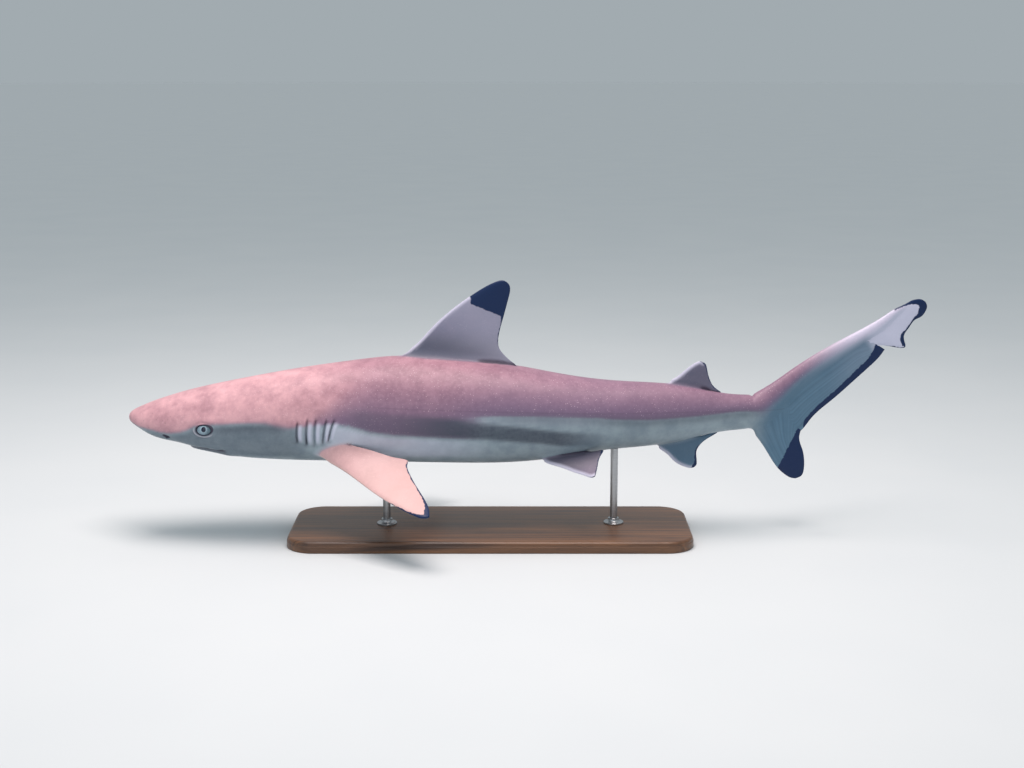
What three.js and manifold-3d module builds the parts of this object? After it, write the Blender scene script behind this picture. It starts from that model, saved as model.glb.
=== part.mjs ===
// A life-size blacktip reef shark in a level swimming pose, its tail swung gently to its right,
// held over a flat display base by two short rods.
//
// Units are millimetres. +X runs from the snout to the tail, +Y to the shark's right and +Z up.
// The floor under the base is at Z = 0, and the origin is at the middle of the whole model's box.
//
// The flesh is described in the shark's own measures, as a taxidermist would take them:
//   s  distance back from the tip of the snout, along the body
//   y  distance out to the shark's right
//   h  height above the level of the snout's tip
// Each body section is a superellipse whose top, bottom, half width and widest level are smooth
// curves of s. Each fin is a loft of aerofoil chords between its front and rear edges.

import * as THREE from "three";
import { mergeVertices } from "three/addons/utils/BufferGeometryUtils.js";
import Module from "manifold-3d";

const wasm = await Module();
wasm.setup();

// ---- driving dimensions -------------------------------------------------------------------

const SNOUT_TO_PIT = 991; // precaudal length: snout tip to the pit above the tail's root
const OVERALL_LENGTH = 1266; // snout tip to tail tip, as the fish lies
const SNOUT_HEIGHT = 195; // height of the snout's tip above the floor
const TAIL_SWING = 38; // how far the tail's tip is swung to the right
const SWING_START = 520; // where along the body the swing begins
const HEAD_YAW = 6; // how far the snout is turned to the right
const HEAD_YAW_END = 300;
const GAP = 0.4; // clearance between neighbouring pieces
const FACET_LOSS = 0.05; // the most that a surface may move as needless facets are dropped

const EYE = { s: 127.4, y: 56.4, h: -11.2, length: 11.4, depth: 8, height: 9.8 };
const MOUTH = { front: 99, corner: 158, halfWidth: 56, plane: -42.5, back: 200, floor: -90 };
const GILL_SLITS = [275, 289, 303, 316, 328]; // the five slits, front to rear
const GILL_SLIT = { width: 1.6, height: 38, depth: 4, middle: -14, lean: 8 };

const BASE = { length: 640, width: 210, thickness: 18, corner: 45, bevel: 2, middle: 572 };
const ROD_RADIUS = 6;
const RODS = { front: 405, rear: 770 };
const COLLAR = { radius: 16, height: 9, chamfer: 2 };

// ---- curves -------------------------------------------------------------------------------

// The natural cubic spline through [x, value] points.
function splineThrough(points) {
  const x = points.map((p) => p[0]);
  const v = points.map((p) => p[1]);
  const last = x.length - 1;
  const width = x.slice(1).map((right, i) => right - x[i]);
  const ratio = [0];
  const part = [0];
  for (let i = 1; i < last; i++) {
    const pivot = 2 * (width[i - 1] + width[i]) - width[i - 1] * ratio[i - 1];
    const bend = 6 * ((v[i + 1] - v[i]) / width[i] - (v[i] - v[i - 1]) / width[i - 1]);
    ratio[i] = width[i] / pivot;
    part[i] = (bend - width[i - 1] * part[i - 1]) / pivot;
  }
  const curvature = new Array(last + 1).fill(0);
  for (let i = last - 1; i > 0; i--) curvature[i] = part[i] - ratio[i] * curvature[i + 1];
  return (at) => {
    let i = 0;
    while (i < last - 1 && at > x[i + 1]) i++;
    const a = (x[i + 1] - at) / width[i];
    const b = 1 - a;
    const sag = ((a ** 3 - a) * curvature[i] + (b ** 3 - b) * curvature[i + 1]) * width[i] ** 2;
    return a * v[i] + b * v[i + 1] + sag / 6;
  };
}

// A curve of s that is a spline in the root of s, so that it leaves the snout's tip as a round nose.
function noseCurve(points) {
  const spline = splineThrough(points.map(([s, value]) => [Math.sqrt(s), value]));
  return (s) => spline(Math.sqrt(s));
}

// A smooth path through points, read at the fraction t of its length from point to point.
function pathThrough(points) {
  const run = [0];
  for (let i = 1; i < points.length; i++) {
    run.push(run[i - 1] + Math.hypot(...points[i].map((v, k) => v - points[i - 1][k])));
  }
  const splines = points[0].map((_, k) => splineThrough(points.map((p, i) => [run[i], p[k]])));
  return (t) => splines.map((spline) => spline(t * run[points.length - 1]));
}

// ---- the pose -----------------------------------------------------------------------------

function swing(s) {
  const tail = Math.max(0, s - SWING_START) / (OVERALL_LENGTH - SWING_START);
  const head = Math.max(0, HEAD_YAW_END - s) / HEAD_YAW_END;
  return TAIL_SWING * tail ** 2 + HEAD_YAW * head ** 2;
}

// The place of a point of the shark, given in its own measures.
function place(s, y, h) {
  return new THREE.Vector3(s - OVERALL_LENGTH / 2, y + swing(s), h + SNOUT_HEIGHT);
}

// ---- solids -------------------------------------------------------------------------------

// A manifold solid from a closed geometry, turned outside out if its faces point inwards.
function solidOf(geometry) {
  const bare = geometry.clone();
  for (const name of Object.keys(bare.attributes)) {
    if (name !== "position") bare.deleteAttribute(name);
  }
  const merged = mergeVertices(bare, 1e-4);
  const vertProperties = new Float32Array(merged.attributes.position.array);
  const triVerts = new Uint32Array(merged.index.array);
  const made = new wasm.Manifold(new wasm.Mesh({ numProp: 3, vertProperties, triVerts }));
  if (made.volume() > 0) return made;
  const turned = triVerts.slice().reverse();
  return new wasm.Manifold(new wasm.Mesh({ numProp: 3, vertProperties, triVerts: turned }));
}

// The closed surface through rings of points, with a fan over each end.
function loft(rings) {
  const count = rings[0].length;
  const points = rings.flat();
  const middle = (ring) =>
    ring.reduce((sum, p) => sum.add(p), new THREE.Vector3()).multiplyScalar(1 / count);
  const first = points.push(middle(rings[0])) - 1;
  const end = points.push(middle(rings[rings.length - 1])) - 1;
  const faces = [];
  for (let i = 0; i < count; i++) {
    const next = (i + 1) % count;
    for (let r = 0; r < rings.length - 1; r++) {
      const near = r * count;
      const far = near + count;
      faces.push(near + i, near + next, far + next);
      faces.push(near + i, far + next, far + i);
    }
    const rim = (rings.length - 1) * count;
    faces.push(first, next, i);
    faces.push(end, rim + i, rim + next);
  }
  return solidOf(new THREE.BufferGeometry().setFromPoints(points).setIndex(faces));
}

function slab(fromS, toS) {
  const box = new THREE.BoxGeometry(toS - fromS, 600, 900);
  box.translate((fromS + toS) / 2 - OVERALL_LENGTH / 2, 0, SNOUT_HEIGHT);
  return solidOf(box);
}

// ---- the body -----------------------------------------------------------------------------

const backLine = noseCurve([
  [0, 0], [17, 15.5], [50, 28.5], [112, 46.5], [190, 63], [285, 80], [360, 90.5], [430, 97],
  [510, 93], [612, 81.5], [700, 65], [777, 56], [850, 51.5], [905, 43.5], [940, 35.5], [991, 31.5],
]);
const bellyLine = noseCurve([
  [0, 0], [17, -17], [50, -31.5], [97, -44], [128, -55], [175, -63], [270, -67.5], [400, -70.5],
  [510, -73], [610, -72.5], [675, -66.5], [750, -55], [830, -48], [880, -40], [930, -29],
  [991, -23],
]);
const halfWidth = noseCurve([
  [0, 0], [17, 30], [50, 46], [120, 61], [200, 70], [300, 75.5], [400, 77], [500, 75],
  [600, 69.5], [700, 58], [800, 44], [900, 30], [960, 21.5], [991, 18.5],
]);
const widestLevel = noseCurve([
  [0, 0], [17, -7], [60, -14], [130, -16], [200, -14], [300, -8], [450, 0], [600, 3], [800, 4],
  [991, 4.25],
]);
const belowSquareness = noseCurve([
  [0, 2.2], [60, 2.5], [150, 2.4], [300, 2.2], [600, 2.1], [991, 2],
]);
const ABOVE_SQUARENESS = 2;

// The fleshy axis that runs on from the tail's root into the upper lobe:
// s and h of the middle, half height, half width, and lean of the section in degrees.
const tailAxis = pathThrough([
  [SNOUT_TO_PIT, 4.25, 27.25, 18.5, 0],
  [1008, 13, 26, 16, 16],
  [1032, 32, 21.5, 13, 26],
  [1064, 61, 16, 10.5, 31],
  [1105, 90, 13.5, 8.5, 31],
  [1155, 119.5, 11, 6.5, 31],
  [1200, 147.5, 8.5, 4.5, 33],
  [1226, 168, 4.5, 2.8, 31],
  [1241, 176.5, 1.6, 1.4, 28],
]);

const AROUND = 28;
const power = (value, exponent) => Math.sign(value) * Math.abs(value) ** exponent;

// One body section, its points grown outwards by grow.
function bodySection(s, grow) {
  const ring = [];
  const level = widestLevel(s);
  for (let i = 0; i < AROUND; i++) {
    const turn = (2 * Math.PI * i) / AROUND;
    const above = Math.cos(turn) >= 0;
    const squareness = above ? ABOVE_SQUARENESS : belowSquareness(s);
    const reach = above ? backLine(s) - level : level - bellyLine(s);
    const y = (halfWidth(s) + grow) * power(Math.sin(turn), 2 / squareness);
    const h = level + (reach + grow) * power(Math.cos(turn), 2 / squareness);
    ring.push(place(s, y, h));
  }
  return ring;
}

function tailSection(t, grow) {
  const [s, h, tall, wide, lean] = tailAxis(t);
  const tilt = THREE.MathUtils.degToRad(lean);
  const ring = [];
  for (let i = 0; i < AROUND; i++) {
    const turn = (2 * Math.PI * i) / AROUND;
    const up = (tall + grow) * Math.cos(turn);
    ring.push(place(s - up * Math.sin(tilt), (wide + grow) * Math.sin(turn), h + up * Math.cos(tilt)));
  }
  return ring;
}

// The whole flesh of head, trunk and tail axis, grown outwards by grow.
function flesh(grow) {
  const HEAD_RINGS = 13;
  const TRUNK_RINGS = 22;
  const TAIL_RINGS = 11;
  const HEAD_END = 285;
  const NOSE_TIP = 0.2;
  const rings = [bodySection(NOSE_TIP, grow)];
  for (let i = 1; i <= HEAD_RINGS; i++) rings.push(bodySection(HEAD_END * (i / HEAD_RINGS) ** 2, grow));
  for (let i = 1; i < TRUNK_RINGS; i++) {
    rings.push(bodySection(HEAD_END + ((SNOUT_TO_PIT - HEAD_END) * i) / TRUNK_RINGS, grow));
  }
  for (let i = 0; i <= TAIL_RINGS; i++) rings.push(tailSection(i / TAIL_RINGS, grow));
  return loft(rings);
}

// ---- the fins -----------------------------------------------------------------------------

// Half thickness of a fin at the fraction c of its chord, for a fullest half thickness of full.
const EDGE = 0.8;
function aerofoil(c, full) {
  const shape =
    2.969 * Math.sqrt(c) - 1.26 * c - 3.516 * c ** 2 + 2.843 * c ** 3 - 1.036 * c ** 4;
  return full * Math.max(0, shape) + EDGE * (1 - (2 * c - 1) ** 8);
}

// A fin. front and rear are its edges from root to tip, where they meet, as [s, h] points on the
// midline or [s, y, h] points of a paired fin. full is the fullest half thickness: at the root,
// without the root's flare, and at the tip. thick is the way in which that thickness is laid.
function fin({ front, rear, full, flare, thick }, side = 1, grow = 0) {
  const CHORD_STEPS = 8;
  const SPAN_STEPS = 11;
  const TIP_SHARE = 0.985;
  const FLARE_SHARE = 0.2;
  const solidPoint = (p) => (p.length === 2 ? [p[0], 0, p[1]] : [p[0], side * p[1], p[2]]);
  const frontEdge = pathThrough(front.map(solidPoint));
  const rearEdge = pathThrough(rear.map(solidPoint));
  const across = new THREE.Vector3(thick[0], side * thick[1], thick[2]).normalize();
  const rings = [];
  for (let k = 0; k <= SPAN_STEPS; k++) {
    const t = (TIP_SHARE * k) / SPAN_STEPS;
    const start = new THREE.Vector3(...frontEdge(t));
    const end = new THREE.Vector3(...rearEdge(t));
    const taper = full[1] + (full[0] - full[1]) * (1 - t) ** 1.3;
    const fullest = taper + flare * Math.max(0, 1 - t / FLARE_SHARE) ** 2;
    const ring = [];
    for (let i = 0; i < 2 * CHORD_STEPS; i++) {
      const c = (1 - Math.cos((Math.PI * i) / CHORD_STEPS)) / 2;
      const face = i < CHORD_STEPS ? 1 : -1;
      const half = aerofoil(c, fullest) + (c > 0 && c < 1 ? grow : 0);
      const p = start.clone().lerp(end, c).addScaledVector(across, face * half);
      ring.push(place(p.x, p.y, p.z));
    }
    rings.push(ring);
  }
  return loft(rings);
}

const SIDEWAYS = [0, 1, 0]; // a fin on the midline has its thickness across the body

const FIRST_DORSAL = {
  full: [5.5, 1.4], flare: 3, thick: SIDEWAYS,
  front: [
    [418, 82], [428, 97], [446, 109], [477, 139], [509, 169], [541, 192.5], [568, 208.5],
    [584, 215], [593, 216.5], [598, 214.5],
  ],
  rear: [
    [548, 76], [562, 85.5], [590, 85.5], [612, 83.5], [606, 88], [594, 99], [586, 110],
    [584.5, 122], [589, 146], [596, 171], [601, 190], [603.5, 203], [602, 210], [598, 214.5],
  ],
};
const SECOND_DORSAL = {
  full: [3.4, 1], flare: 2, thick: SIDEWAYS,
  front: [
    [848, 40], [856, 55], [865, 60.5], [881, 73], [892, 81.5], [899, 85.5], [905, 86.8],
    [909, 85.3],
  ],
  rear: [
    [900, 36], [908, 43], [922, 41], [938, 36.5], [931, 42.5], [922, 54], [917.5, 67],
    [915, 78], [912.5, 83.3], [909, 85.3],
  ],
};
const ANAL = {
  full: [3.4, 1], flare: 2, thick: SIDEWAYS,
  front: [
    [832, -36], [842, -54.5], [852, -61.5], [868, -77], [879, -83.3], [888, -86.5],
    [894, -87.3], [899, -85.5],
  ],
  rear: [
    [890, -30], [898, -37.5], [915, -35.5], [934, -30.5], [921, -38], [909, -47.5],
    [902.5, -58], [902.3, -70], [903, -78], [902, -83], [899, -85.5],
  ],
};
const UPPER_LOBE = {
  full: [4.5, 1.4], flare: 0, thick: SIDEWAYS,
  front: [[992, 2], [1028, 32], [1058, 56], [1092, 80], [1125, 100.5], [1150, 115], [1170, 124]],
  rear: [
    [1038, -26], [1066, -31], [1084, -11], [1116, 19], [1147, 46.5], [1179, 76], [1193, 92.5],
    [1199, 104],
  ],
};
const TERMINAL_LOBE = {
  full: [2.4, 1], flare: 0, thick: SIDEWAYS,
  front: [
    [1164, 124], [1183, 140], [1207, 158.5], [1222, 170.5], [1236, 178.5], [1247, 182],
    [1257, 182], [1264, 178],
  ],
  rear: [
    [1183, 109], [1210, 107], [1235, 106.5], [1231.5, 121], [1240, 138], [1248, 149],
    [1258, 154], [1265, 163], [1267, 171], [1264, 178],
  ],
};
const LOWER_LOBE = {
  full: [6, 1.3], flare: 0, thick: SIDEWAYS,
  front: [
    [976, 2], [989, -24], [1004, -44], [1021, -70], [1036, -91], [1048, -101.5], [1058, -106.5],
    [1065, -107],
  ],
  rear: [
    [1080, 8], [1070, -28], [1068, -40], [1074, -60], [1077.5, -78], [1077.5, -92],
    [1073.5, -103.5], [1065, -107],
  ],
};

// Paired fins, with their thickness laid along the way that their upper face looks.
const PECTORAL = {
  full: [7.5, 1.5], flare: 5, thick: [-0.08, 0.465, 0.88],
  front: [
    [303, 38, -41], [310, 57, -49.5], [341, 86, -62.5], [374, 119, -77], [407, 151, -91],
    [439, 177, -102], [463, 193, -109], [476, 198.5, -110.5], [484, 197.5, -109],
  ],
  rear: [
    [344, 50, -20], [352, 71, -27.5], [371, 75.5, -32.5], [402, 78, -41], [432, 81, -48.5],
    [446, 85, -52], [445, 92, -56], [447, 103, -62], [459.5, 133, -76], [475, 163, -91],
    [482.5, 183, -101], [484, 197.5, -109],
  ],
};
const PELVIC = {
  full: [3.2, 1], flare: 1.5, thick: [0, 0.485, 0.875],
  front: [
    [646, 20, -54], [655, 36, -64], [681.5, 52, -70.5], [705, 64, -76.5], [722, 71.5, -80.3],
    [731, 74.5, -81.5], [735.5, 74, -80],
  ],
  rear: [
    [706, 18, -42], [722, 27, -49.5], [738, 35, -49], [750, 40, -47], [746, 48, -52.5],
    [740.5, 61, -64], [738, 69, -73], [735.5, 74, -80],
  ],
};

// ---- the head's parts ---------------------------------------------------------------------

function eyeball(side, grow) {
  const ball = new THREE.SphereGeometry(1, 16, 9);
  ball.scale(EYE.length + grow, EYE.depth + grow, EYE.height + grow);
  const at = place(EYE.s, side * EYE.y, EYE.h);
  return solidOf(ball.translate(at.x, at.y, at.z));
}

// The block of space behind the mouth's bow and below its plane, which holds the lower jaw.
function jawSpace(grow) {
  const STEPS = 14;
  const bow = new THREE.Shape();
  const reach = MOUTH.halfWidth + 12;
  for (let i = 0; i <= STEPS; i++) {
    const y = reach * ((2 * i) / STEPS - 1);
    const s = MOUTH.front + (MOUTH.corner - MOUTH.front) * (y / MOUTH.halfWidth) ** 2 - grow;
    const at = place(s, y, 0);
    if (i === 0) bow.moveTo(at.x, at.y);
    else bow.lineTo(at.x, at.y);
  }
  const back = place(MOUTH.back + grow, 0, 0).x;
  bow.lineTo(back, reach);
  bow.lineTo(back, -reach);
  const depth = MOUTH.plane + grow - MOUTH.floor;
  const block = new THREE.ExtrudeGeometry(bow, { depth, bevelEnabled: false });
  return solidOf(block.translate(0, 0, MOUTH.floor + SNOUT_HEIGHT));
}

// The cutters for the five gill slits of one side, each leaning back towards its foot.
function gillCuts(side) {
  return GILL_SLITS.map((s) => {
    const cut = new THREE.BoxGeometry(GILL_SLIT.width, 2 * GILL_SLIT.depth, GILL_SLIT.height);
    cut.rotateY(THREE.MathUtils.degToRad(GILL_SLIT.lean));
    const at = place(s, side * halfWidth(s), GILL_SLIT.middle);
    return solidOf(cut.translate(at.x, at.y, at.z));
  });
}

// ---- the stand ----------------------------------------------------------------------------

function standBase() {
  const { length, width, corner, bevel, thickness } = BASE;
  const endX = length / 2 - bevel;
  const endY = width / 2 - bevel;
  const plan = new THREE.Shape();
  plan.moveTo(-endX + corner, -endY);
  plan.lineTo(endX - corner, -endY);
  plan.absarc(endX - corner, -endY + corner, corner, -Math.PI / 2, 0, false);
  plan.absarc(endX - corner, endY - corner, corner, 0, Math.PI / 2, false);
  plan.absarc(-endX + corner, endY - corner, corner, Math.PI / 2, Math.PI, false);
  plan.absarc(-endX + corner, -endY + corner, corner, Math.PI, 1.5 * Math.PI, false);
  const board = new THREE.ExtrudeGeometry(plan, {
    depth: thickness - 2 * bevel,
    bevelThickness: bevel,
    bevelSize: bevel,
    bevelSegments: 1,
    curveSegments: 5,
  });
  return solidOf(board.translate(BASE.middle - OVERALL_LENGTH / 2, 0, bevel));
}

// A rod from the base up into the belly, before the belly is cut from it.
function rod(s) {
  const foot = BASE.thickness;
  const top = SNOUT_HEIGHT + bellyLine(s) + 10;
  const post = new THREE.CylinderGeometry(ROD_RADIUS, ROD_RADIUS, top - foot, 20);
  post.rotateX(Math.PI / 2);
  return solidOf(post.translate(s - OVERALL_LENGTH / 2, swing(s), (top + foot) / 2));
}

function collar(s) {
  const inner = ROD_RADIUS + GAP;
  const { radius, height, chamfer } = COLLAR;
  const profile = [
    [inner, 0], [radius, 0], [radius, height - chamfer], [radius - chamfer, height],
    [inner, height], [inner, 0],
  ].map(([r, z]) => new THREE.Vector2(r, z));
  const ring = new THREE.LatheGeometry(profile, 20);
  ring.rotateX(Math.PI / 2);
  return solidOf(ring.translate(s - OVERALL_LENGTH / 2, swing(s), BASE.thickness));
}

// ---- assembly -----------------------------------------------------------------------------

const skin = new THREE.Color(0xa88c8e);
const paleSkin = new THREE.Color(0xc9cdc6);
const finish = {
  back: { color: skin, roughness: 0.45, metalness: 0 },
  pale: { color: paleSkin, roughness: 0.45, metalness: 0 },
  eye: { color: new THREE.Color(0x9fb0a8), roughness: 0.1, metalness: 0 },
  board: { color: new THREE.Color(0x5a3d28), roughness: 0.5, metalness: 0 },
  steel: { color: new THREE.Color(0xb8babd), roughness: 0.3, metalness: 1 },
};

const shark = new THREE.Group();

function add(name, solid, material) {
  const mesh = solid.asOriginal().simplify(FACET_LOSS).getMesh();
  const positions = new Float32Array(mesh.numVert * 3);
  for (let i = 0; i < mesh.numVert; i++) {
    const from = i * mesh.numProp;
    positions.set(mesh.vertProperties.subarray(from, from + 3), i * 3);
  }
  const geometry = new THREE.BufferGeometry();
  geometry.setAttribute("position", new THREE.BufferAttribute(positions, 3));
  geometry.setIndex(new THREE.BufferAttribute(new Uint32Array(mesh.triVerts), 1));
  geometry.computeVertexNormals();
  const made = new THREE.Mesh(geometry, new THREE.MeshStandardMaterial(finish[material]));
  made.name = name;
  shark.add(made);
}

// Head, trunk and tail stalk: one body, parted by thin cuts across it.
const body = flesh(0);
const bodyGrown = flesh(GAP);
const STATIONS = { snout: 85, head: 258, gills: 345, trunk: 645, rear: 850, stalk: SNOUT_TO_PIT };

function length(fromS, toS) {
  return body.intersect(slab(fromS + GAP / 2, toS - GAP / 2));
}

let head = length(STATIONS.snout, STATIONS.head);
const jaw = head.intersect(jawSpace(0));
head = head.subtract(jawSpace(GAP));
for (const [name, side] of [["eye_left", -1], ["eye_right", 1]]) {
  head = head.subtract(eyeball(side, GAP));
  add(name, eyeball(side, 0), "eye");
}
let gills = length(STATIONS.head, STATIONS.gills);
for (const side of [-1, 1]) {
  for (const cut of gillCuts(side)) gills = gills.subtract(cut);
}

add("snout", body.intersect(slab(-50, STATIONS.snout - GAP / 2)), "back");
add("head", head, "back");
add("lower_jaw", jaw, "pale");
add("gill_region", gills, "back");
add("trunk_front", length(STATIONS.gills, STATIONS.trunk), "back");
add("trunk_rear", length(STATIONS.trunk, STATIONS.rear), "back");
add("tail_stalk", length(STATIONS.rear, STATIONS.stalk), "back");

// Tail fin: the upper lobe carries the fleshy axis, and the other lobes meet it.
const beyondStalk = slab(STATIONS.stalk + GAP / 2, OVERALL_LENGTH + 50);
const upperLobe = (grow) => fin(UPPER_LOBE, 1, grow).add(flesh(grow).intersect(beyondStalk));
add("caudal_upper_lobe", upperLobe(0).intersect(beyondStalk), "back");
const upperLobeGrown = upperLobe(GAP);
add("caudal_terminal_lobe", fin(TERMINAL_LOBE).subtract(upperLobeGrown), "back");
add("caudal_lower_lobe", fin(LOWER_LOBE).subtract(upperLobeGrown).subtract(bodyGrown), "pale");

add("first_dorsal_fin", fin(FIRST_DORSAL).subtract(bodyGrown), "back");
add("second_dorsal_fin", fin(SECOND_DORSAL).subtract(bodyGrown), "back");
add("anal_fin", fin(ANAL).subtract(bodyGrown), "pale");
for (const [hand, side] of [["left", -1], ["right", 1]]) {
  add(`pectoral_fin_${hand}`, fin(PECTORAL, side).subtract(bodyGrown), "back");
  add(`pelvic_fin_${hand}`, fin(PELVIC, side).subtract(bodyGrown), "back");
}

add("stand_base", standBase(), "board");
for (const [end, s] of Object.entries(RODS)) {
  add(`stand_rod_${end}`, rod(s).subtract(bodyGrown), "steel");
  add(`stand_collar_${end}`, collar(s), "steel");
}

export default shark;
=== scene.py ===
"""A life-size blacktip reef shark, level and swimming, on a plain museum stand.

The flesh is one skin: a lofted body with sculpted head, joined to its lofted fins, with the joins
filleted. The eyes are separate. The stand's board and rods come from the frame.
Sizes of the fish are in millimetres in its own measures, as in the part's source:
  s  distance back from the tip of the snout
  y  distance out to the shark's right
  h  height above the level of the snout's tip
"""

import math

import bmesh
import bpy
import numpy as np
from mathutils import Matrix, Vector, kdtree


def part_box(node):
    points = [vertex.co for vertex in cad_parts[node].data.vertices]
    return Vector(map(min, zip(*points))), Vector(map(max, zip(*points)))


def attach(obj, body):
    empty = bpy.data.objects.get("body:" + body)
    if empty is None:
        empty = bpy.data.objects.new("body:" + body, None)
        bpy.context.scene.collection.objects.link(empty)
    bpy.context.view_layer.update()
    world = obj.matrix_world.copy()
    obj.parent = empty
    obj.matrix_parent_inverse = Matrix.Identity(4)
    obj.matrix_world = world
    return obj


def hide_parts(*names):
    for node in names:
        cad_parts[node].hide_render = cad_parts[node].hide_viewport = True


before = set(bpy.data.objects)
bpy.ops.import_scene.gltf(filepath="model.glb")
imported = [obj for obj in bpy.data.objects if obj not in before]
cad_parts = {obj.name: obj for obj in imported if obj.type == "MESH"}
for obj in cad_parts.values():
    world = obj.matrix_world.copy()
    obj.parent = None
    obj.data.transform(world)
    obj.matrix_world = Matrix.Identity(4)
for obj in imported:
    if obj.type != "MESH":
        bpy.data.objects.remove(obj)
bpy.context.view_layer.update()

MM = 0.001

# ---- driving dimensions, in millimetres ------------------------------------------------------

SNOUT_TO_PIT = 991
OVERALL_LENGTH = 1266
SNOUT_HEIGHT = 195
# The swimming curve: how far the tail and the head are carried to the right, and from where.
TAIL_SWING, TAIL_SWING_FROM = 38, 520
HEAD_SWING, HEAD_SWING_FROM = 6, 300
# The snout's blunt tip reaches this far ahead of its first ring, and draws the rings forward.
NOSE_REACH, NOSE_REACH_END = 3, 22

# The body along s: h of the back and the belly, half the width, h of the widest level, and how
# square the part below that level is, where 2 is an ellipse.
BACK_LINE = [
    (0, 0), (17, 15.5), (50, 28.5), (112, 46.5), (190, 63), (285, 80), (360, 90.5), (430, 97),
    (510, 93), (612, 81.5), (700, 65), (777, 56), (850, 51.5), (905, 43.5), (940, 35.5),
    (991, 31.5),
]
BELLY_LINE = [
    (0, 0), (17, -17.3), (50, -32.3), (90, -40.5), (128, -53), (175, -61.5), (270, -67.5),
    (400, -70.5), (510, -73), (610, -72.5), (675, -66.5), (750, -55), (830, -48), (880, -40),
    (930, -29), (991, -23),
]
HALF_WIDTH = [
    (0, 0), (17, 30), (50, 46), (120, 61), (200, 70), (300, 75.5), (400, 77), (500, 75),
    (600, 69.5), (700, 58), (800, 44), (900, 30), (960, 21.5), (991, 18.5),
]
WIDEST_LEVEL = [
    (0, 0), (17, -7), (60, -14), (130, -16), (200, -14), (300, -8), (450, 0), (600, 3), (800, 4),
    (991, 4.25),
]
SQUARENESS = [(0, 2.2), (60, 2.5), (150, 2.4), (300, 2.2), (600, 2.1), (991, 2)]

# The fleshy axis in the tail's upper lobe: s, h, half height, half width, lean in degrees.
TAIL_AXIS = [
    (SNOUT_TO_PIT, 4.25, 27.25, 18.5, 0), (1008, 13, 26, 16, 16), (1032, 32, 21.5, 13, 26),
    (1064, 61, 16, 10.5, 31), (1105, 90, 13.5, 8.5, 31), (1155, 119.5, 11, 6.5, 31),
    (1200, 147.5, 8.5, 4.5, 33), (1226, 168, 4.5, 2.8, 31), (1241, 176.5, 1.6, 1.4, 28),
]

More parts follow.
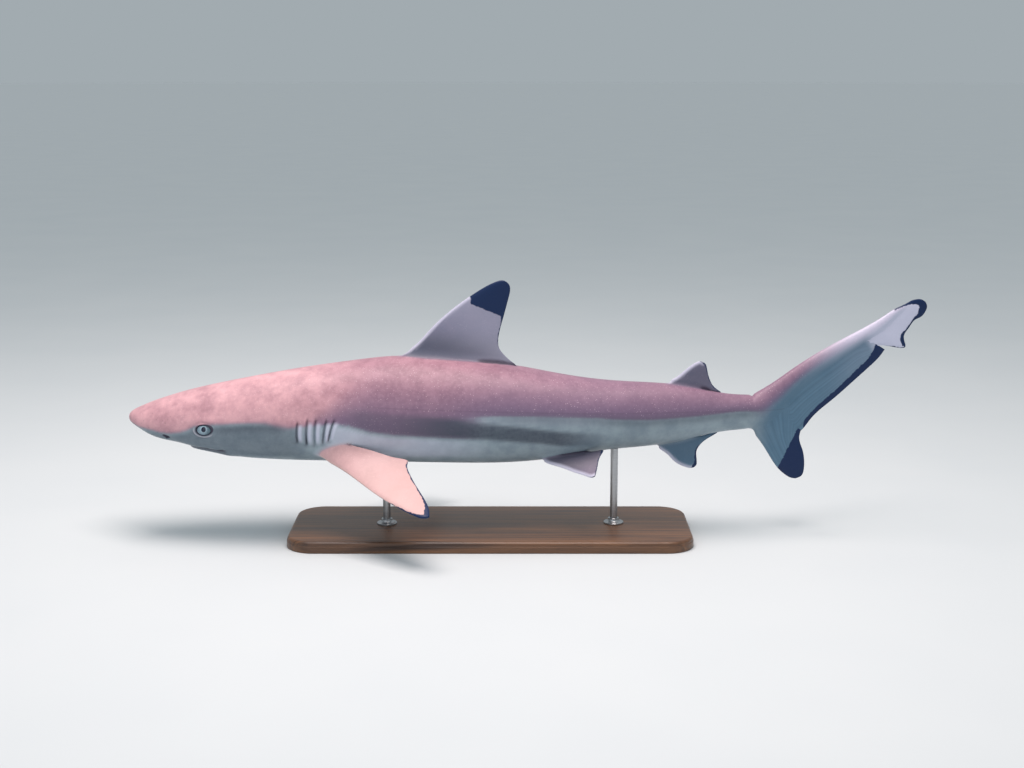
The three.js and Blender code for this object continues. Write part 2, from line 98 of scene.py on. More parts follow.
# Fins: front and rear edges from root to tip as (s, h) or (s, y, h); full is the fullest half
# thickness at root and tip, flare what the root adds, thick the way the thickness is laid.
SIDEWAYS = (0, 1, 0)
FINS = {
    "first_dorsal": dict(
        full=(5.5, 1.4), flare=3, thick=SIDEWAYS,
        front=[(418, 82), (428, 97), (446, 109), (477, 139), (509, 169), (541, 192.5),
               (568, 209.3), (583, 216), (592.5, 217.4), (598, 214.8)],
        rear=[(536, 72), (550, 84), (572, 83.8), (597, 82), (613, 82), (606, 88), (594, 99),
              (586, 110), (584.5, 122), (589, 146), (596, 171), (601, 190), (603.5, 203),
              (602, 210.4), (598, 214.8)],
    ),
    "second_dorsal": dict(
        full=(3.4, 1), flare=2, thick=SIDEWAYS,
        front=[(848, 40), (856, 55), (865, 60.5), (881, 73), (892, 81.5), (899, 85.5),
               (905, 86.8), (909, 85.3)],
        rear=[(898, 33), (908, 40), (923, 39.3), (939, 36.6), (931, 42.5), (922, 54),
              (917.5, 67), (915, 78), (912.5, 83.3), (909, 85.3)],
    ),
    "anal": dict(
        full=(3.4, 1), flare=2, thick=SIDEWAYS,
        front=[(832, -36), (842, -54.5), (852, -61.5), (868, -77), (879, -83.3), (888, -86.5),
               (894, -87.3), (899, -85.5)],
        rear=[(888, -26), (900, -34), (917, -32.4), (935, -29), (921, -38), (909, -47.5),
              (902.5, -58), (902.3, -70), (903, -78), (902, -83), (899, -85.5)],
    ),
    "upper_lobe": dict(
        full=(4.5, 1.4), flare=0, thick=SIDEWAYS,
        front=[(992, 2), (1028, 32), (1058, 56), (1092, 80), (1125, 100.5), (1150, 115),
               (1178, 117)],
        rear=[(1038, -26), (1066, -31), (1084, -11), (1116, 19), (1147, 46.5), (1179, 76),
              (1194, 91.5), (1203, 105)],
    ),
    "terminal_lobe": dict(
        full=(2.4, 1), flare=0, thick=SIDEWAYS,
        front=[(1164, 124), (1183, 140), (1207, 158.5), (1222, 170.5), (1236, 178.5),
               (1247, 182), (1257, 182), (1264, 178)],
        rear=[(1183, 109), (1210, 107), (1235, 106.5), (1231.5, 121), (1240, 138), (1248, 149),
              (1258, 154), (1265, 163), (1267, 171), (1264, 178)],
    ),
    "lower_lobe": dict(
        full=(6, 1.3), flare=0, thick=SIDEWAYS,
        front=[(976, 2), (989, -24), (1004, -44), (1021, -70), (1036, -91), (1048, -101.5),
               (1058, -106.5), (1065, -107)],
        rear=[(1080, 8), (1070, -28), (1068, -40), (1074, -60), (1077.5, -78), (1077.5, -92),
              (1073.5, -103.5), (1065, -107)],
    ),
    "pectoral": dict(
        full=(7.5, 1.5), flare=5, thick=(-0.08, 0.465, 0.88),
        front=[(284, 40, -34), (294, 55, -42.5), (309, 66, -50.5), (341, 88, -63), (374, 119, -77),
               (407, 151, -91), (439, 177, -102), (463, 193, -109), (476, 198.5, -110.5),
               (484, 197.5, -109)],
        rear=[(344, 50, -20), (352, 71, -27.5), (371, 75.5, -32.5), (402, 78, -41),
              (432, 81, -48.5), (446, 85, -52), (445, 92, -56), (447, 103, -62),
              (459.5, 133, -76), (475, 163, -91), (482.5, 183, -101), (484, 197.5, -109)],
    ),
    "pelvic": dict(
        full=(3.2, 1), flare=1.5, thick=(0, 0.485, 0.875),
        front=[(646, 20, -54), (655, 36, -64), (681.5, 52, -70.5), (705, 64, -76.5),
               (722, 71.5, -80.3), (731, 74.5, -81.5), (735.5, 74, -80)],
        rear=[(706, 18, -42), (722, 27, -49.5), (738, 35, -49), (750, 40, -47), (746, 48, -52.5),
              (740.5, 61, -64), (738, 69, -73), (735.5, 74, -80)],
    ),
}
PAIRED = ("pectoral", "pelvic")

# The eye's opening, the ball behind it, and the pupil's place off the ball's middle.
EYE = dict(s=127.2, h=-9.2, half_length=12.4, half_height=8.1)
EYEBALL = dict(half_length=13.2, depth=6.6, half_height=9.3, proud=2.2)
PUPIL = dict(back=0.4, up=1.4, half_width=3.6, half_height=4.1)

# The mouth: s of its front and corners, and h of the lower jaw and of the roof over it.
MOUTH = dict(front=90, corner=158, half_width=56)
JAW_LINE = [(88, -41), (91, -44), (95, -47), (109, -51.6), (127, -53.6), (152, -56.5), (180, -62)]
MOUTH_ROOF = [(87, -39.5), (97, -40.5), (115, -40), (140, -41.5), (158, -43.5), (200, -48)]

# Gill slits: s at the top, s at the foot, h of top, h of foot, and how dark the shade painted in
# the slit is.
GILL_SLITS = [
    (273, 272.5, 6, -28, 0.85), (288.5, 287, 10.5, -32.5, 1), (301.5, 299.5, 10.5, -33, 0.5),
    (318, 312, 10, -31.5, 0.85), (330.5, 320, 10.5, -27, 1),
]
NOSTRIL = dict(s=64.5, h=-23, slant=7)

# ---- curves ------------------------------------------------------------------------------------


def spline_through(x, v):
    """The natural cubic spline through the values v at x, as a function of an array."""
    x, v = np.asarray(x, float), np.asarray(v, float)
    n, width = len(x), np.diff(x)
    system, target = np.eye(n), np.zeros(n)
    for i in range(1, n - 1):
        system[i, i - 1 : i + 2] = width[i - 1], 2 * (width[i - 1] + width[i]), width[i]
        target[i] = 6 * ((v[i + 1] - v[i]) / width[i] - (v[i] - v[i - 1]) / width[i - 1])
    bend = np.linalg.solve(system, target)

    def at(t):
        i = np.clip(np.searchsorted(x, t) - 1, 0, n - 2)
        a = (x[i + 1] - t) / width[i]
        b = 1 - a
        sag = ((a**3 - a) * bend[i] + (b**3 - b) * bend[i + 1]) * width[i] ** 2
        return a * v[i] + b * v[i + 1] + sag / 6

    return at


def nose_curve(points):
    """A curve of s that leaves the snout's tip as a round nose does."""
    s, v = zip(*points)
    spline = spline_through(np.sqrt(s), v)
    return lambda at: spline(np.sqrt(np.maximum(at, 0)))


def held_curve(points):
    """A smooth curve through points that keeps its end values beyond them."""
    x, v = zip(*points)
    spline = spline_through(x, v)
    return lambda at: spline(np.clip(at, x[0], x[-1]))


def path_through(points):
    """A smooth path through points, read at the fraction t of its length from point to point."""
    points = np.asarray(points, float)
    run = np.concatenate([[0], np.cumsum(np.linalg.norm(np.diff(points, axis=0), axis=1))])
    splines = [spline_through(run, column) for column in points.T]
    return lambda t: np.stack([spline(np.asarray(t) * run[-1]) for spline in splines], -1)


def ease(low, high, x):
    """0 below low, 1 above high, and smooth between; low may be above high."""
    t = np.clip((x - low) / (high - low), 0, 1)
    return t * t * (3 - 2 * t)


def hump(x, width):
    """1 at zero, falling smoothly to both sides."""
    return np.exp(-((x / width) ** 2))


def full_turn(count):
    """That many angles, evenly round a circle."""
    return 2 * np.pi * np.arange(count) / count


def read_line(line, at):
    """The value at each place of a line of straight stretches, given as (place, value) pairs."""
    return np.interp(at, *zip(*line))


back_line, belly_line = nose_curve(BACK_LINE), nose_curve(BELLY_LINE)
half_width, widest_level = nose_curve(HALF_WIDTH), nose_curve(WIDEST_LEVEL)
squareness = nose_curve(SQUARENESS)
mouth_roof, jaw_line = held_curve(MOUTH_ROOF), held_curve(JAW_LINE)
tail_axis = path_through(TAIL_AXIS)


def swing(s):
    """How far the swimming curve carries the body to its right."""
    tail = np.maximum(0, s - TAIL_SWING_FROM) / (OVERALL_LENGTH - TAIL_SWING_FROM)
    head = np.maximum(0, HEAD_SWING_FROM - s) / HEAD_SWING_FROM
    return TAIL_SWING * tail**2 + HEAD_SWING * head**2


def place(p):
    """Points (s, y, h) in millimetres, in the row's frame in metres."""
    s, y, h = np.moveaxis(np.asarray(p, float), -1, 0)
    return np.stack([s - OVERALL_LENGTH / 2, y + swing(s), h + SNOUT_HEIGHT], -1) * MM


def unplace(p):
    """The shark's own measures of points in the row's frame."""
    x, y, z = np.moveaxis(np.asarray(p, float) / MM, -1, 0)
    s = x + OVERALL_LENGTH / 2
    return np.stack([s, y - swing(s), z - SNOUT_HEIGHT], -1)


# ---- the body's surface ------------------------------------------------------------------------


def jaw_edge(y):
    """s of the mouth's line at the distance y from the midline."""
    return MOUTH["front"] + (MOUTH["corner"] - MOUTH["front"]) * (y / MOUTH["half_width"]) ** 2


def head_underside(s, y, h):
    """Heights h under the head, with the lower jaw standing out of a flatter throat and snout."""
    reach = MOUTH["corner"] - MOUTH["front"]
    jaw = MOUTH["half_width"] * np.sqrt(np.clip((s - MOUTH["front"]) / reach, 1e-6, None))
    roof = mouth_roof(s)
    inside = np.clip(1 - np.clip(np.abs(y) / jaw, 0, 1) ** 2.6, 0, 1) ** (1 / 2.2)
    jaw_h = roof - np.maximum(0, roof - jaw_line(s)) * inside
    soft = 1.2
    outside_h = soft * np.logaddexp(h / soft, roof / soft)
    shaped = np.where(np.abs(y) < jaw, np.minimum(jaw_h, outside_h), outside_h)
    front, corner = MOUTH["front"], MOUTH["corner"]
    blend = ease(front - 4, front, s) * ease(corner + 20, corner, s) * ease(-30, -37, h)
    return h + (shaped - h) * blend


def surface(s, turn):
    """Points (s, y, h) of the bare body at s and at turn, an angle round it from the back."""
    s, turn = np.broadcast_arrays(np.asarray(s, float), np.asarray(turn, float))
    cos, sin = np.cos(turn), np.sin(turn)
    level, above = widest_level(s), cos >= 0
    root = 2 / np.where(above, 2, squareness(s))
    reach = np.where(above, back_line(s) - level, level - belly_line(s))
    y = half_width(s) * np.sign(sin) * np.abs(sin) ** root
    h = level + reach * np.sign(cos) * np.abs(cos) ** root
    nose = NOSE_REACH * ease(NOSE_REACH_END, 0, s)
    return np.stack([s - nose, y, head_underside(s, y, h)], -1)


def turn_at(s, h):
    """The turn at which the surface of the right side has the height h, on the head's side."""
    level = widest_level(s)
    up = np.clip((h - level) / (back_line(s) - level), 0, 1)
    down = np.clip((level - h) / (level - belly_line(s)), 0, 1) ** (squareness(s) / 2)
    return np.arccos(up - down)


def surface_normal(s, turn):
    """The outward normal of the bare body."""
    step_s, step_turn = 0.25, 0.004
    low = np.maximum(s - step_s, 0.02)
    lengthways = surface(s + step_s, turn) - surface(low, turn)
    around = surface(s, turn + step_turn) - surface(s, turn - step_turn)
    normal = np.cross(lengthways, around)
    return normal / np.linalg.norm(normal, axis=-1, keepdims=True)


# ---- relief: how far the skin stands out of the bare body, and the shade painted in its folds ---

# In this part a number added to s, y, h or a distance, and the width of a hump, is in millimetres.
# One in front of a hump or an ease is the height, or the darkness of the painted shade, there.


def eye_distance(s, h):
    """Millimetres outside the eye's opening, and the direction from its middle."""
    u = (s - EYE["s"]) / EYE["half_length"]
    v = (h - EYE["h"]) / EYE["half_height"]
    return (np.hypot(u, v) - 1) * (EYE["half_length"] + EYE["half_height"]) / 2, np.arctan2(v, u)


def eye_relief(s, h):
    """The lids, the fold under the lower lid, the brow, and the hollow in front of the eye."""
    d, way = eye_distance(s, h)
    near = ease(30, 15, d)
    lower_front = ease(0.1, 0.9, -np.sin(way) * 0.8 - np.cos(way) * 0.45)
    lid = 0.9 * hump(d - 0.6, 1.5) + 0.6 * lower_front * hump(d - 3.0, 1.3)
    crease = -0.6 * hump(d - 5, 1.2) * (0.35 + 0.65 * lower_front)
    brow = 1.5 * hump(s - EYE["s"] - 2, 20) * hump(h - EYE["h"] - 14, 6)
    hollow = -0.8 * hump(s - EYE["s"] + 24, 9) * hump(h - EYE["h"] - 1, 8)
    return near * (lid + crease) + brow + hollow


def eye_shadow(s, h):
    """Shade painted round the lids and into the socket, widest above and behind, and in the crease
    below.
    """
    d, way = eye_distance(s, h)
    behind = ease(-0.2, 0.9, np.cos(way))
    above = ease(-0.3, 0.8, np.sin(way))
    width = 0.6 + 0.9 * above + 1.7 * behind * ease(-0.75, 0.2, np.sin(way))
    crease = 0.45 * hump(d - 5, 0.8) * ease(0.2, 0.8, -np.sin(way) * 0.8 - np.cos(way) * 0.5)
    return np.maximum(ease(width + 1.4, width - 0.8, np.maximum(d, 0)), crease)


def lid_pale(s, h):
    """The pale fold of the lower lid, strongest in front and below."""
    d, way = eye_distance(s, h)
    lower_front = ease(-0.1, 0.6, -np.sin(way) * 0.85 - np.cos(way) * 0.4)
    return lower_front * hump(d - 3.2, 1.2)


def mouth_offset(s, y):
    """Millimetres inside the mouth's line, seen from below."""
    slope = 2 * (MOUTH["corner"] - MOUTH["front"]) * y / MOUTH["half_width"] ** 2
    return (s - jaw_edge(y)) / np.sqrt(1 + slope**2)


def mouth_window(y, h):
    """1 on the head's underside within the mouth's width, 0 elsewhere."""
    return ease(-33, -37, h) * ease(MOUTH["half_width"] + 2, MOUTH["half_width"] - 3, np.abs(y))


def mouth_relief(s, y, h):
    """The two lips and the groove between them."""
    d = mouth_offset(s, y)
    lips = 0.9 * hump(d - 3, 1.9) + 0.9 * hump(d + 3, 1.9)
    return mouth_window(y, h) * (lips - 2.8 * hump(d, 1.5))


def gill_profile(s, h):
    """Relief of the five slits, each a raised flap that ends over a deep crease; the shade painted
    in each crease, capping its top and under the flap's foot; and how pale the skin is behind each
    crease, partly painted highlight where the flap catches the light."""
    relief, shadow, pale = 0, 0, 0
    for top_s, foot_s, top, foot, dark in GILL_SLITS:
        down = (top - h) / (top - foot)
        bow = 1.4 * np.sin(np.pi * np.clip(down, 0, 1))
        line = top_s + (foot_s - top_s) * down - bow
        x = s - line
        window = ease(-0.04, 0.12, down) * ease(1.03, 0.86, down)
        flap = 2.4 * np.exp(np.minimum(x, 0) / 4.5) * ease(1.2, -0.6, x)
        hollow = 1.6 * ease(0.4, 2.5, x) * np.exp(-np.maximum(x, 0) / 4)
        crease = -3.8 * hump(x - 1.6, 1.5) - hollow
        relief = relief + window * (flap + crease)
        # Painted shade in each slit, a cap of it at the slit's top, and a painted shadow under the
        # flap's foot.
        slit = dark * window * (0.55 + 0.3 * hump(down - 0.9, 0.3)) * hump(x - 1.4, 1.7)
        cap_shade = 0.45 * hump(down - 0.03, 0.06) * hump(x - 3, 4)
        foot_shadow = 0.42 * hump(down - 0.95, 0.13) * hump(x - 1, 9)
        shadow = np.maximum.reduce([shadow * np.ones_like(s), slit, cap_shade, foot_shadow])
        # The pale strip behind each crease is partly painted highlight where the flap catches the
        # light.
        pale = np.maximum(pale, ease(0.06, 0.2, down) * ease(1.02, 0.7, down) * hump(x - 7, 4))
    return relief, shadow, pale


def nostril_frame():
    """The nostril's middle, and the ways along the snout and down its side."""
    turn = turn_at(NOSTRIL["s"], NOSTRIL["h"])
    middle = surface(NOSTRIL["s"], turn)
    back = surface(NOSTRIL["s"] + 1, turn) - middle
    down = surface(NOSTRIL["s"], turn + 0.02) - middle
    return middle, back / np.linalg.norm(back), down / np.linalg.norm(down)


NOSTRIL_MIDDLE, NOSTRIL_BACK, NOSTRIL_DOWN = nostril_frame()


def nostril_profile(s, y, h):
    """Relief of the slanted nostril and the small flap that half covers it, and the shade painted
    in its hollow.
    """
    offset = np.stack([s, np.abs(y), h], -1) - NOSTRIL_MIDDLE
    u, v = offset @ NOSTRIL_BACK, offset @ NOSTRIL_DOWN
    near = ease(26, 18, np.linalg.norm(offset, axis=-1))
    slant = math.radians(NOSTRIL["slant"])
    long = u * math.cos(slant) + v * math.sin(slant)
    across = v * math.cos(slant) - u * math.sin(slant)
    hole = hump(long, 5.8) * hump(across, 3)
    flap = hump(long - 1.5, 2.8) * hump(across - 4.2, 1.7)
    rim = hump(long, 6.6) * hump(across + 4.2, 1.7)
    return near * (2.2 * flap + 0.8 * rim - 4.2 * hole), near * ease(0.15, 0.45, hole)


def pit_relief(s, y, h):
    """The notch across the tail's root, deeper above than below."""
    above = np.where(h > widest_level(np.minimum(s, SNOUT_TO_PIT)), 1.0, 0.45)
    return -2.6 * above * hump(s - SNOUT_TO_PIT + 1.5, 3.0) * hump(y, 8)


def relief_and_shadow(p):
    """How far the skin stands out at the points p of the bare body, and its folds' painted shade.
    """
    s, y, h = np.moveaxis(p, -1, 0)
    side = np.abs(y)
    gill_relief, gill_shadow, _ = gill_profile(s, h)
    gill_side = ease(45, 58, side)
    nostril_relief, nostril_shadow = nostril_profile(s, y, h)
    on_eye = ease(40, 48, side)
    relief = (
        eye_relief(s, h) * on_eye
        + gill_relief * gill_side
        + nostril_relief
        + pit_relief(s, y, h)
    )
    shadow = np.maximum.reduce([
        eye_shadow(s, h) * on_eye, gill_shadow * gill_side, nostril_shadow
    ])
    return relief, shadow


def skin_point(s, turn):
    """Points of the finished skin."""
    bare = surface(s, turn)
    finished = bare + surface_normal(s, turn) * relief_and_shadow(bare)[0][..., None]
    finished[..., 2] -= mouth_relief(*np.moveaxis(bare, -1, 0))
    return finished


# ---- meshes ------------------------------------------------------------------------------------


def add_object(name, data):
    """A new object in the scene."""
    made = bpy.data.objects.new(name, data)
    bpy.context.scene.collection.objects.link(made)
    return made


def mesh_object(name, points, faces):
    """A smooth-shaded object from points in metres, its faces turned outwards."""
    mesh = bpy.data.meshes.new(name)
    mesh.from_pydata(np.asarray(points).tolist(), [], faces)
    work = bmesh.new()
    work.from_mesh(mesh)
    bmesh.ops.recalc_face_normals(work, faces=work.faces)
    if work.calc_volume(signed=True) < 0:
        bmesh.ops.reverse_faces(work, faces=work.faces)
    work.to_mesh(mesh)
    work.free()
    mesh.shade_smooth()
    return add_object(name, mesh)


def add_ring(points, new):
    """Add a ring's points to the others and give their numbers."""
    points.extend(new)
    return list(range(len(points) - len(new), len(points)))


def ring_numbers(rings, count, first=0):
    """The numbers of the points of rings that are stored one after another."""
    return [list(range(first + i * count, first + (i + 1) * count)) for i in range(rings)]


def fan(ring, point):
    """Faces from a ring to one point."""
    return [(a, b, point) for a, b in zip(ring, ring[1:] + ring[:1])]


def stitch_all(rings):
    """Faces from each ring to the next."""
    return [face for near, far in zip(rings, rings[1:]) for face in stitch(near, far)]


def stitch(near, far):
    """Faces between two rings of vertex numbers, of equal counts or one of twice the other."""
    faces = []
    count = min(len(near), len(far))
    for j in range(count):
        k = (j + 1) % count
        if len(near) == len(far):
            faces.append((near[j], near[k], far[k], far[j]))
        elif len(far) > len(near):
            a, b, c = far[2 * j], far[2 * j + 1], far[(2 * j + 2) % len(far)]
            faces += [(near[j], b, a), (near[j], near[k], b), (near[k], c, b)]
        else:
            a, b, c = near[2 * j], near[2 * j + 1], near[(2 * j + 2) % len(near)]
            faces += [(a, b, far[j]), (b, far[k], far[j]), (b, c, far[k])]
    return faces


# The nose's rings end at NOSE_END and crowd towards its tip, with fewer points round before each
# s given. The body's rings go up to each s, at that spacing and with that many points round.
NOSE_RINGS, NOSE_END = 40, 50
NOSE_POINTS = [(1, 54), (9, 108), (math.inf, 216)]
BODY_STRETCHES = [
    (78, 1.15, 216), (96, 1.5, 216), (166, 0.95, 216), (262, 3, 216), (342, 1.0, 216),
    (700, 3.5, 108), (980, 3.8, 108), (991, 1.2, 108),
]
# How strongly the head's points crowd towards its underside, and where along s that ends.
CROWDING, CROWDED_TO = 0.35, (400, 330)
TAIL_STEPS, TAIL_POINTS = 64, 54


def body_stations():
    """s and the number of points of every ring from the nose to the pit."""
    stations = []
    for i in range(1, NOSE_RINGS + 1):
        s = NOSE_END * (i / NOSE_RINGS) ** 2
        stations.append((s, next(count for end, count in NOSE_POINTS if s < end)))
    start = NOSE_END
    for end, step, count in BODY_STRETCHES:
        steps = round((end - start) / step)
        stations += [(start + (end - start) * (i + 1) / steps, count) for i in range(steps)]
        start = end
    return stations


def tail_ring(t, count):
    """A ring of the fleshy axis at the fraction t of its length."""
    s, h, tall, wide, lean = tail_axis(t)
    turn = full_turn(count)
    up = tall * np.cos(turn)
    lean = np.radians(lean)
    return np.stack([s - up * np.sin(lean), wide * np.sin(turn), h + up * np.cos(lean)], -1)


# The grid is left out round the eye, this far along s and h, and finer rings fill the hole.
EYE_WINDOW = (18.5, 14.5)
EYE_PATCH_RINGS = 14
# Socket rings inside the eye's opening: size beside the opening, and depth along the eye's axis.
SOCKET = [
    (0.975, 0.75), (0.955, 0.2), (0.95, -0.6), (0.97, -1.6), (1.12, -3.0), (1.2, -4.8),
    (1.1, -7.2), (0.75, -9.0), (0.3, -9.6),
]


def eye_patch(side, points, rows, first, last, low, high):
    """Faces in place of the grid's, from row first to last and column low to high: rings round
    the eye's opening and a socket behind it. Their points are added to points."""
    loop = [rows[i][low] for i in range(first, last)]
    loop += [rows[last][j] for j in range(low, high)]
    loop += [rows[i][high] for i in range(last, first, -1)]
    loop += [rows[first][j] for j in range(high, low, -1)]
    edge = np.array([points[k] for k in loop])
    edge_s, edge_h = edge[:, 0], edge[:, 2]
    _, way = eye_distance(edge_s, edge_h)
    rim_s = EYE["s"] + EYE["half_length"] * np.cos(way)
    rim_h = EYE["h"] + EYE["half_height"] * np.sin(way)
    axis = eye_axis(side)[1]
    rings = [loop]
    for r in range(1, EYE_PATCH_RINGS + 1):
        share = 1 - (1 - r / EYE_PATCH_RINGS) ** 1.5
        s = edge_s + (rim_s - edge_s) * share
        h = edge_h + (rim_h - edge_h) * share
        rings.append(add_ring(points, skin_point(s, side * turn_at(s, h))))
    for size, depth in SOCKET:
        s = EYE["s"] + (rim_s - EYE["s"]) * size
        h = EYE["h"] + (rim_h - EYE["h"]) * size
        socket = surface(s, side * turn_at(s, h)) + axis * depth
        rings.append(add_ring(points, socket))
    points.append(np.mean([points[k] for k in rings[-1]], axis=0))
    return stitch_all(rings) + fan(rings[-1], len(points) - 1)


def eye_axis(side):
    """The middle of the eye's opening on the bare skin, and the way that the eye looks."""
    turn = side * turn_at(EYE["s"], EYE["h"])
    return surface(EYE["s"], turn), surface_normal(np.array(EYE["s"]), turn)


def ring_turns(s, count):
    """The turns of a ring's points."""
    even = full_turn(count)
    return even + CROWDING * ease(*CROWDED_TO, s) * np.sin(even)


def body_mesh():
    """Head, trunk and tail axis as one closed mesh, with its points in the shark's measures."""
    stations = body_stations()
    points = [np.array([-NOSE_REACH, 0, 0])]
    rows, faces, cut_out = [], [], set()
    for s, count in stations:
        rows.append(add_ring(points, skin_point(np.full(count, s), ring_turns(s, count))))
    for side in (-1, 1):
        cells = [
            (i, j)
            for i, row in enumerate(rows) if abs(stations[i][0] - EYE["s"]) < EYE_WINDOW[0]
            for j, k in enumerate(row)
            if points[k][1] * side > 0 and abs(points[k][2] - EYE["h"]) < EYE_WINDOW[1]
        ]
        (first, low), (last, high) = np.min(cells, axis=0), np.max(cells, axis=0)
        faces += eye_patch(side, points, rows, first, last, low, high)
        cut_out |= {(i, j) for i in range(first, last) for j in range(low, high)}
    for i in range(1, TAIL_STEPS + 1):
        rows.append(add_ring(points, tail_ring(i / TAIL_STEPS, TAIL_POINTS)))
    for i, (near, far) in enumerate(zip(rows, rows[1:])):
        band = stitch(near, far)
        if len(near) == len(far):
            band = [face for j, face in enumerate(band) if (i, j) not in cut_out]
        faces += band
    nose, tip = rows[0], rows[-1]
    faces += [(0, b, a) for a, b in zip(nose, nose[1:] + nose[:1])]
    points.append(np.mean([points[k] for k in tip], axis=0))
    return np.array(points), faces + fan(tip, len(points) - 1)


# ---- fins --------------------------------------------------------------------------------------

FIN_RINGS, FIN_AROUND = 44, 44
# The rings stop at this share of the span, and a point closes the tip.
TIP_SHARE = 0.985
EDGE_THICKNESS = 0.6


def fin_edges(fin, side):
    """The paths of a fin's front and rear edges, from root to tip."""
    return [
        path_through([(p[0], side * p[1] if len(p) == 3 else 0, p[-1]) for p in fin[edge]])
        for edge in ("front", "rear")
    ]


def fin_mesh(fin, side):
    """A fin as rings along its span, each an aerofoil from its front edge to its rear edge."""
    front, rear = fin_edges(fin, side)
    u = np.arange(FIN_RINGS + 1) / FIN_RINGS
    t = TIP_SHARE * (1 - (1 - u) ** 1.25)
    root, tip = fin["full"]
    full = tip + (root - tip) * (1 - t) ** 1.3 + fin["flare"] * np.maximum(0, 1 - t / 0.2) ** 2
    way = full_turn(FIN_AROUND)
    # c runs from the front edge to the rear one, and shape is a round-nosed aerofoil's half.
    c = (1 - np.cos(way)) / 2
    shape = 2.969 * np.sqrt(c) - 1.26 * c - 3.516 * c**2 + 2.843 * c**3 - 1.036 * c**4
    half = full[:, None] * shape + EDGE_THICKNESS * (1 - (2 * c - 1) ** 8)
    thick = np.array(fin["thick"], float) * (1, side, 1)
    thick = thick / np.linalg.norm(thick)
    chord = front(t)[:, None] + (rear(t) - front(t))[:, None] * c[:, None]
    rings = chord + thick * (half * np.sign(np.sin(way) + 1e-9))[..., None]
    points = [*rings.reshape(-1, 3), rings[0].mean(axis=0), front(1.0)]
    rows = ring_numbers(FIN_RINGS + 1, FIN_AROUND)
    root_cap, tip_cap = len(points) - 2, len(points) - 1
    return np.array(points), stitch_all(rows) + fan(rows[0], root_cap) + fan(rows[-1], tip_cap)


# ---- one skin ----------------------------------------------------------------------------------

PAINTED = {
    # Black along the edges: (share of the edge from root to tip, width in mm). Below zero is none.
    # past: half-spaces in (s, |y|, h), as a point and the way in, that hold a black patch.
    # tone: how much of the back's colour the upper side has, upper: how much of that is the back's
    # pink, painted light from above, rather than the flank's mauve, painted shade. web: how much of
    # the fins' blue-grey, partly painted shade. pale_and_highlight: how pale the fin is at its root
    # and further out, partly painted highlight, and warm: how pink that is. shade: how much painted
    # shade darkens the fin's foot, slate like the flank's band. The tail's lobes take their colours
    # from the tail as a whole, and only their pale_and_highlight further out from here.
    # reach: how far the fillet goes, and spread: how far the fin's colours do, in mm.
    "first_dorsal": dict(
        front=[(0, -9), (1, -9)], rear=[(0.48, -2), (0.55, 0.8), (0.69, 1.5), (0.76, 3), (1, 3)],
        past=[((541.5, 0, 185), (1, 0, 0.05)), ((542, 0, 180), (0.364, 0, 0.931))],
        tone=1, upper=0.3, web=0.6, pale_and_highlight=(0, 0.36), reach=15, spread=1, shade=0.68,
    ),
    "second_dorsal": dict(
        front=[(0.85, -2), (0.95, 1), (1, 1.8)],
        rear=[(0.4, -2), (0.457, 1.2), (0.7, 1.2), (0.87, 1.8), (1, 2.2)],
        past=[], tone=1, upper=0.6, web=0.62, pale_and_highlight=(0, 0), reach=8, spread=1, shade=0.42,
    ),
    "anal": dict(
        front=[(0.85, -2), (0.93, 1.5), (1, 4)],
        rear=[(0.38, -2), (0.437, 1.6), (0.55, 1.2), (0.67, 1.4), (0.77, 2.5), (0.865, 4), (1, 5)],
        past=[], tone=0.4, upper=0, web=1, pale_and_highlight=(0, 0), reach=8, spread=0, shade=0.2,
    ),
    "upper_lobe": dict(
        front=[(0, -9), (1, -9)],
        rear=[(0.15, -9), (0.2, 6), (0.25, 7.5), (0.45, 9), (0.64, 10), (0.84, 12), (0.94, 16),
              (1, 19)],
        past=[], pale_and_highlight=(0, 0.15), reach=9,
    ),
    # The terminal lobe's pale is painted highlight where it twists towards the light.
    "terminal_lobe": dict(
        front=[(0.3, -2), (0.45, 1.2), (0.62, 3), (0.75, 5), (0.85, 8), (1, 12)],
        rear=[(0.1, -2), (0.2, 0.9), (0.34, 1.6), (0.39, 7), (0.48, 7), (0.58, 2.5), (0.7, 3),
              (0.8, 9), (0.88, 13), (1, 12)],
        past=[], pale_and_highlight=(0, 0.95), reach=4,
    ),
    "lower_lobe": dict(
        front=[(0, -9), (0.85, -2), (1, 3)], rear=[(0.26, -9), (0.34, 6), (1, 7)],
        past=[((1035, 0, -86.4), (0.904, 0, -0.427)), ((1060, 0, -24), (0, 0, -1))],
        pale_and_highlight=(0, 0), reach=14,
    ),
    # The pectoral's pale, warm at the root and white further out, is partly painted highlight where
    # it tilts to the light above.
    "pectoral": dict(
        front=[(0.68, -2), (0.76, 1), (0.9, 2.6), (0.96, 6), (1, 9)],
        rear=[(0.44, -2), (0.48, 1.4), (0.5, 2.2), (0.61, 1.6), (0.8, 2.2), (0.89, 4), (0.95, 8),
              (1, 9)],
        past=[], tone=1, upper=1, web=0, pale_and_highlight=(0.5, 0.8), warm=1, reach=17, spread=2, shade=0,
    ),
    "pelvic": dict(
        front=[(0.9, -2), (0.96, 0.8), (1, 1.6)],
        rear=[(0.36, -2), (0.46, 2.5), (0.5, 5), (0.6, 2), (0.75, 1.1), (1, 1.6)],
        past=[], tone=1, upper=0.7, web=0.5, pale_and_highlight=(0, 0), reach=8, spread=0, shade=0.7,
    ),
}

